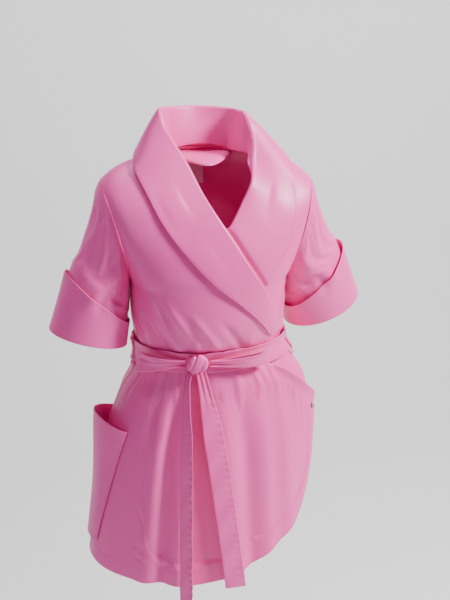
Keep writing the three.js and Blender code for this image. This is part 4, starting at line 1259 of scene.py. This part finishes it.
def turned(name, profile, node, segments=48):
    """A round piece turned from (radius, height) pairs, standing where its CAD node stands."""
    cad = bpy.data.objects[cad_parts[node].name]
    corners = np.array([v.co for v in cad.data.vertices])
    centre = (corners.max(0) + corners.min(0)) / 2
    normal = body_normal(np.float64(SNAP_PHI), np.float64(height_of(SNAP_Z)))
    side = unit(np.cross(normal, [0, 0, 1.0]))
    up = np.cross(side, normal)
    along = (corners - centre) @ normal
    mesh = bmesh.new()
    rows = []
    for radius, height in profile:
        base = centre + normal * (along.min() + height)
        if radius == 0:
            rows.append([mesh.verts.new(base)])
            continue
        rows.append([mesh.verts.new(base + radius * (math.cos(a) * side + math.sin(a) * up))
                     for a in np.linspace(0, 2 * math.pi, segments, endpoint=False)])
    for low, high in zip(rows, rows[1:]):
        for i in range(segments):
            j = (i + 1) % segments
            corners_of = (low[i % len(low)], low[j % len(low)], high[j % len(high)], high[i % len(high)])
            face = list(dict.fromkeys(corners_of))
            if len(face) > 2:
                mesh.faces.new(face)
    bmesh.ops.recalc_face_normals(mesh, faces=mesh.faces)
    data = bpy.data.meshes.new(name)
    mesh.to_mesh(data)
    mesh.free()
    data.shade_smooth()
    return new_object(name, data)


class GOWN_OT_press_stud(bpy.types.Operator):
    """The press stud at the overlap's edge."""
    bl_idname = "gown.press_stud"
    bl_label = "Press stud"

    def execute(self, context):
        cap, socket, post, foot = 0.0065, 0.0055, 0.0045, 0.0055
        wall = 0.0028
        arc = [(cap - 0.0014 + 0.0014 * math.sin(a), 0.0002 + 0.0012 * (1 - math.cos(a)))
               for a in np.linspace(0.2, math.pi - 0.6, 9)]
        profiles = {
            "snap_cap": [(0, 0), (cap - 0.001, 0)] + arc + [(cap * 0.70, 0.0021), (cap * 0.62, 0.0016),
                                                            (cap * 0.30, 0.00215), (0, 0.0024)],
            "snap_socket": [(wall, 0), (socket - 0.0003, 0), (socket, 0.0004), (socket, 0.0016),
                            (socket - 0.0004, 0.002), (0, 0.002), (0, 0.0014), (wall, 0.0014), (wall, 0)],
            "snap_stud": [(0, 0), (post - 0.0003, 0), (post, 0.0003), (post - 0.0002, 0.0009),
                          (0.0025, 0.0011), (0.0022, 0.0014), (0.0025, 0.0017), (0.0018, 0.0019),
                          (0, 0.0019)],
            "snap_foot": [(0, 0), (foot - 0.0003, 0), (foot, 0.0003), (foot - 0.0004, 0.0008), (0, 0.0008)],
        }
        for node, profile in profiles.items():
            body = "overlap" if node in ("snap_cap", "snap_socket") else "root"
            piece = turned(node + "_metal", profile, node)
            piece.data.materials.append(finish_of("plated_metal"))
            edge = piece.modifiers.new("Edge", "EDGE_SPLIT")
            edge.split_angle = math.radians(50)
            carry(piece, body, node, slot="snap_metal")
        return {"FINISHED"}


# ---- stitching ------------------------------------------------------------------------------
HEM_STITCH, EDGE_STITCH, STRAP_STITCH = 0.030, 0.004, 0.0035   # from a sheet's edge to the line
UPRIGHT = np.array([0, 0, 1])
NECK_MIDDLE = np.array([0.0, 0.02, -0.12])


def inset_run(name, edge, inset, low=0.0, high=1.0, step=0.002):
    """Points and normals of a line on a sheet, inset from one of its edges: first, last, left or right."""
    points, ring, thickness = GRIDS[name]
    normals = grid_normals(points, ring)
    if edge in ("left", "right"):
        points, normals = points.swapaxes(0, 1), normals.swapaxes(0, 1)
    if edge in ("last", "right"):
        points, normals = points[::-1], normals[::-1]
    length = arc_lengths(points, 0)
    at = np.clip(np.full(points.shape[1], inset), 0, length[-1])
    run, facing = [], []
    for column in range(points.shape[1]):
        x = length[:, column]
        run.append([np.interp(at[column], x, points[:, column, k]) for k in range(3)])
        facing.append([np.interp(at[column], x, normals[:, column, k]) for k in range(3)])
    run, facing = np.array(run), unit(np.array(facing))
    if ring and edge in ("first", "last"):
        run, facing = np.concatenate([run, run[:1]]), np.concatenate([facing, facing[:1]])
    first, last = int(low * (len(run) - 1)), int(math.ceil(high * (len(run) - 1)))
    return run[first:last + 1], facing[first:last + 1], thickness / 2


def outward(run, facing, inside):
    """Turns a line's normals away from a point or line inside the piece."""
    away = run - inside
    return np.where(np.sum(facing * away, axis=-1, keepdims=True) < 0, -facing, facing)


def stitch_sizes(sizes):
    """The stitching tree's inputs by name."""
    return {"Pitch": sizes.stitch_pitch, "Length": sizes.stitch_length, "Thread": sizes.thread}


def stitch_tree(finish, sizes):
    """A node tree that lays a stitch along every line of the mesh it is on."""
    tree = bpy.data.node_groups.new("Run of stitches", "GeometryNodeTree")
    tree.interface.new_socket("Lines", in_out="INPUT", socket_type="NodeSocketGeometry")
    for label, value in stitch_sizes(sizes).items():
        socket = tree.interface.new_socket(label, in_out="INPUT", socket_type="NodeSocketFloat")
        socket.default_value = value
    tree.interface.new_socket("Stitches", in_out="OUTPUT", socket_type="NodeSocketGeometry")

    def node(kind, **settings):
        made = tree.nodes.new(kind)
        for key, value in settings.items():
            setattr(made, key, value)
        return made

    start, end = node("NodeGroupInput"), node("NodeGroupOutput")
    curve = node("GeometryNodeMeshToCurve")
    evenly = node("GeometryNodeResampleCurve", mode="LENGTH")
    facing = node("GeometryNodeInputNamedAttribute", data_type="FLOAT_VECTOR")
    facing.inputs["Name"].default_value = "facing"
    tangent = node("GeometryNodeInputTangent")
    along = node("FunctionNodeAlignRotationToVector", axis="X")
    upright = node("FunctionNodeAlignRotationToVector", axis="Z", pivot_axis="X")
    bead = node("GeometryNodeMeshIcoSphere")
    bead.inputs["Radius"].default_value = 0.5
    bead.inputs["Subdivisions"].default_value = 1
    size = node("ShaderNodeCombineXYZ")
    slim = node("ShaderNodeMath", operation="MULTIPLY")
    slim.inputs[1].default_value = 0.55
    place = node("GeometryNodeInstanceOnPoints")
    real = node("GeometryNodeRealizeInstances")
    paint = node("GeometryNodeSetMaterial")
    paint.inputs["Material"].default_value = finish
    for source, output, target, socket in (
            (start, "Lines", curve, "Mesh"), (curve, "Curve", evenly, "Curve"),
            (start, "Pitch", evenly, "Length"), (tangent, "Tangent", along, "Vector"),
            (along, "Rotation", upright, "Rotation"), (facing, "Attribute", upright, "Vector"),
            (evenly, "Curve", place, "Points"),
            (bead, "Mesh", place, "Instance"), (upright, "Rotation", place, "Rotation"),
            (start, "Length", size, "X"), (start, "Thread", size, "Y"), (start, "Thread", slim, 0),
            (slim, 0, size, "Z"), (size, "Vector", place, "Scale"), (place, "Instances", real, "Geometry"),
            (real, "Geometry", paint, "Geometry"), (paint, "Geometry", end, "Stitches")):
        tree.links.new(source.outputs[output], target.inputs[socket])
    return tree


def stitch_lines(name, runs, tree, sizes):
    """One plain mesh of stitches along all the runs of a body."""
    points, facing, edges = [], [], []
    for run, normal, lift in runs:
        first = len(points)
        points.extend((run + normal * (lift + sizes.thread * 0.15)).tolist())
        facing.extend(normal.tolist())
        edges.extend((first + i, first + i + 1) for i in range(len(run) - 1))
    mesh = bpy.data.meshes.new(name + "_lines")
    mesh.from_pydata(points, edges, [])
    layer = mesh.attributes.new("facing", "FLOAT_VECTOR", "POINT")
    layer.data.foreach_set("vector", np.array(facing, np.float32).ravel())
    lines = new_object(name, mesh)
    nodes = lines.modifiers.new("Stitching", "NODES")
    nodes.node_group = tree
    wanted = stitch_sizes(sizes)
    for item in tree.interface.items_tree:
        if item.in_out == "INPUT" and item.name in wanted:
            nodes[item.identifier] = wanted[item.name]
    evaluated = lines.evaluated_get(bpy.context.evaluated_depsgraph_get())
    made = bpy.data.meshes.new_from_object(evaluated)
    bpy.data.objects.remove(lines, do_unlink=True)
    made.shade_smooth()
    return new_object(name, made)


class GOWN_OT_stitches(bpy.types.Operator):
    """Every line of stitching, one mesh for each body."""
    bl_idname = "gown.stitches"
    bl_label = "Stitching"

    def execute(self, context):
        if "right_front_skirt" not in GRIDS:
            raise RuntimeError("make the panels before their stitching")
        sizes = context.scene.gown_sizes
        tree = stitch_tree(finish_of("thread"), sizes)

        def body_runs(*wanted):
            made = []
            for name, edge, inset, *span in wanted:
                run, facing, lift = inset_run(name, edge, inset, *span)
                made.append((run, outward(run, facing, run * UPRIGHT), lift))
            return made

        def both_sides(runs):
            return runs + [(run, -facing, lift) for run, facing, lift in runs]

        jobs = [
            ("stitching_root", ("ride", "root"), both_sides(body_runs(
                ("back_panel_cloth", "first", HEM_STITCH), ("left_front_cloth", "first", 0.014),
                ("left_front_cloth", "left", 0.006, 0.0, 0.42)))
             + body_runs(
                ("belt_band_cloth", "first", EDGE_STITCH), ("belt_band_cloth", "last", EDGE_STITCH),
                ("back_panel_cloth", "left", EDGE_STITCH, 0.0, 0.62),
                ("back_panel_cloth", "right", EDGE_STITCH, 0.0, 0.62),
                ("belt_carrier_right_cloth", "left", 0.002), ("belt_carrier_right_cloth", "right", 0.002),
                ("belt_carrier_left_cloth", "left", 0.002), ("belt_carrier_left_cloth", "right", 0.002))
             + self.collar_runs()),
            ("stitching_skirt", ("blend", "overlap", *OVERLAP_BEND), body_runs(
                ("right_front_skirt", "first", HEM_STITCH, 0.0, 0.62),
                ("right_front_skirt", "first", 0.007, 0.60, 1.0),
                ("right_front_skirt", "right", 0.007), ("right_front_skirt", "last", 0.006, 0.735, 1.0))),
            ("stitching_pocket", ("blend", "pocket", *POCKET_BEND), body_runs(
                ("pocket_patch_cloth", "left", EDGE_STITCH), ("pocket_patch_cloth", "right", EDGE_STITCH),
                ("pocket_patch_cloth", "first", EDGE_STITCH), ("pocket_patch_cloth", "last", 0.028))),
        ]
        for side, body, *_ in TAILS:
            name = "belt_tail_%s_cloth" % side
            jobs.append(("stitching_tail_" + side, ("ride", body), both_sides(body_runs(
                (name, "left", STRAP_STITCH), (name, "right", STRAP_STITCH), (name, "last", STRAP_STITCH)))))
        for side, body, *_ in BOWS:
            name = "bow_loop_%s_cloth" % side
            jobs.append(("stitching_bow_" + side, ("ride", body), self.loop_runs(name)))
        for arm in (RIGHT_ARM, LEFT_ARM):
            jobs.append(("stitching_%s_cuff" % arm.name, ("blend", arm.name + "_sleeve", *arm.bend()),
                         self.cuff_runs(arm)))
        for name, (way, body, *ends), runs in jobs:
            piece = stitch_lines(name, runs, tree, sizes)
            if way == "ride":
                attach(piece, body)
            else:
                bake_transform(piece)
        return {"FINISHED"}

    def collar_runs(self):
        run, facing, lift = inset_run("shawl_collar", "right", 0.006)
        return [(run, outward(run, facing, NECK_MIDDLE), lift)]

    def loop_runs(self, name):
        points = GRIDS[name][0]
        centre = points.mean(axis=(0, 1))
        made = []
        for edge in ("first", "last"):
            run, facing, lift = inset_run(name, edge, STRAP_STITCH)
            made.append((run, outward(run, facing, lerp(centre, run, 0.4)), lift))
        return made

    def cuff_runs(self, arm):
        run, facing, lift = inset_run(arm.name + "_cuff_cloth", "last", 0.006)
        return [(run, outward(run, facing, run.mean(0)), lift)]


# ---- stage ----------------------------------------------------------------------------------
CAMERA_AZIMUTH = math.radians(-12)
CAMERA_DISTANCE = 2.400
CAMERA_HEIGHT = 0.500
CAMERA_PITCH = math.radians(18.4)
CAMERA_TURN = math.radians(0.95)
SENSOR, LENS = 24, 50.6        # millimetres
FLOOR_Z = -1.42
WALL_Y, WALL_BEND, WALL_HALF_WIDTH, WALL_TOP, FLOOR_FRONT = 2.2, 0.6, 6.0, 4.0, -4.0
WORLD_COLOUR, WORLD_STRENGTH = (0.95, 0.97, 1.0, 1), 0.20
# name, place, what it is aimed at, size, power, colour
LIGHTS = (
    ("key", (2.1, -1.1, 1.5), (0, 0, -0.35), 0.8, 205, (1.0, 0.98, 0.96)),
    ("fill", (-2.3, -2.2, 0.5), (0, 0, -0.4), 1.6, 13, (0.97, 0.98, 1.0)),
    ("top", (-0.3, 0.3, 2.1), (0, 0, -0.3), 1.4, 40, (1, 1, 1)),
)


class GOWN_OT_stage(bpy.types.Operator):
    """Floor and wall, soft lights and the camera."""
    bl_idname = "gown.stage"
    bl_label = "Stage"

    def execute(self, context):
        self.backdrop()
        self.camera(context)
        for lamp in LIGHTS:
            self.light(*lamp)
        world = bpy.data.worlds.new("Studio")
        world.use_nodes = True
        sky = world.node_tree.nodes["Background"]
        sky.inputs["Color"].default_value, sky.inputs["Strength"].default_value = WORLD_COLOUR, WORLD_STRENGTH
        context.scene.world = world
        return {"FINISHED"}

    def backdrop(self):
        turn = np.linspace(0, math.pi / 2, 20)
        floor = [(FLOOR_FRONT, FLOOR_Z), (WALL_Y - WALL_BEND, FLOOR_Z)]
        bend = [(WALL_Y - WALL_BEND + WALL_BEND * math.sin(a), FLOOR_Z + WALL_BEND * (1 - math.cos(a)))
                for a in turn[1:]]
        path = np.array(floor + bend + [(WALL_Y, WALL_TOP)])
        x = np.linspace(-WALL_HALF_WIDTH, WALL_HALF_WIDTH, 3)
        points = stack(x[None, :], path[:, :1], path[:, 1:])
        piece = grid_object("studio_backdrop", points)
        if piece.data.polygons[-1].normal.y > 0:
            piece.data.flip_normals()
        piece.data.materials.append(finish_of("studio_paint"))

    def camera(self, context):
        lens = bpy.data.cameras.new("Camera")
        lens.sensor_fit = "VERTICAL"
        lens.sensor_height = SENSOR
        lens.lens = LENS
        lens.clip_end = 50
        camera = bpy.data.objects.new("Camera", lens)
        context.scene.collection.objects.link(camera)
        camera.location = (math.sin(CAMERA_AZIMUTH) * CAMERA_DISTANCE,
                           -math.cos(CAMERA_AZIMUTH) * CAMERA_DISTANCE, CAMERA_HEIGHT)
        camera.rotation_euler = (math.pi / 2 - CAMERA_PITCH, 0, CAMERA_AZIMUTH - CAMERA_TURN)
        context.scene.camera = camera

    def light(self, name, place, target, size, power, colour):
        lamp = bpy.data.lights.new(name, "AREA")
        lamp.shape = "DISK"
        lamp.size, lamp.energy, lamp.color = size, power, colour
        holder = bpy.data.objects.new(name, lamp)
        bpy.context.scene.collection.objects.link(holder)
        holder.location = place
        holder.rotation_euler = (Vector(target) - Vector(place)).to_track_quat("-Z", "Y").to_euler()


# ---- add-on ---------------------------------------------------------------------------------
STEPS = (
    "stage", "back", "left_front", "right_front", "sleeves", "collar", "belt", "bow", "tails", "pocket",
    "facings", "tapes", "press_stud", "stitches",
)


class GOWN_PT_panel(bpy.types.Panel):
    bl_idname = "GOWN_PT_panel"
    bl_label = "Wrap gown"
    bl_space_type = "VIEW_3D"
    bl_region_type = "UI"
    bl_category = "Gown"

    def draw(self, context):
        for settings in (context.scene.gown_sizes, context.scene.gown_colours):
            for key in settings.__annotations__:
                self.layout.prop(settings, key)
        for step in STEPS:
            self.layout.operator("gown." + step)


CLASSES = (
    GownSizes, GownColours, GOWN_OT_stage, GOWN_OT_back, GOWN_OT_left_front, GOWN_OT_right_front,
    GOWN_OT_sleeves, GOWN_OT_collar, GOWN_OT_belt, GOWN_OT_bow, GOWN_OT_tails, GOWN_OT_pocket,
    GOWN_OT_facings, GOWN_OT_tapes, GOWN_OT_press_stud, GOWN_OT_stitches, GOWN_PT_panel,
)


def register():
    for kind in CLASSES:
        bpy.utils.register_class(kind)
    bpy.types.Scene.gown_sizes = bpy.props.PointerProperty(type=GownSizes)
    bpy.types.Scene.gown_colours = bpy.props.PointerProperty(type=GownColours)


def unregister():
    del bpy.types.Scene.gown_colours
    del bpy.types.Scene.gown_sizes
    for kind in reversed(CLASSES):
        bpy.utils.unregister_class(kind)


def main():
    register()
    for step in STEPS:
        getattr(bpy.ops.gown, step)()


if __name__ == "__main__":
    main()
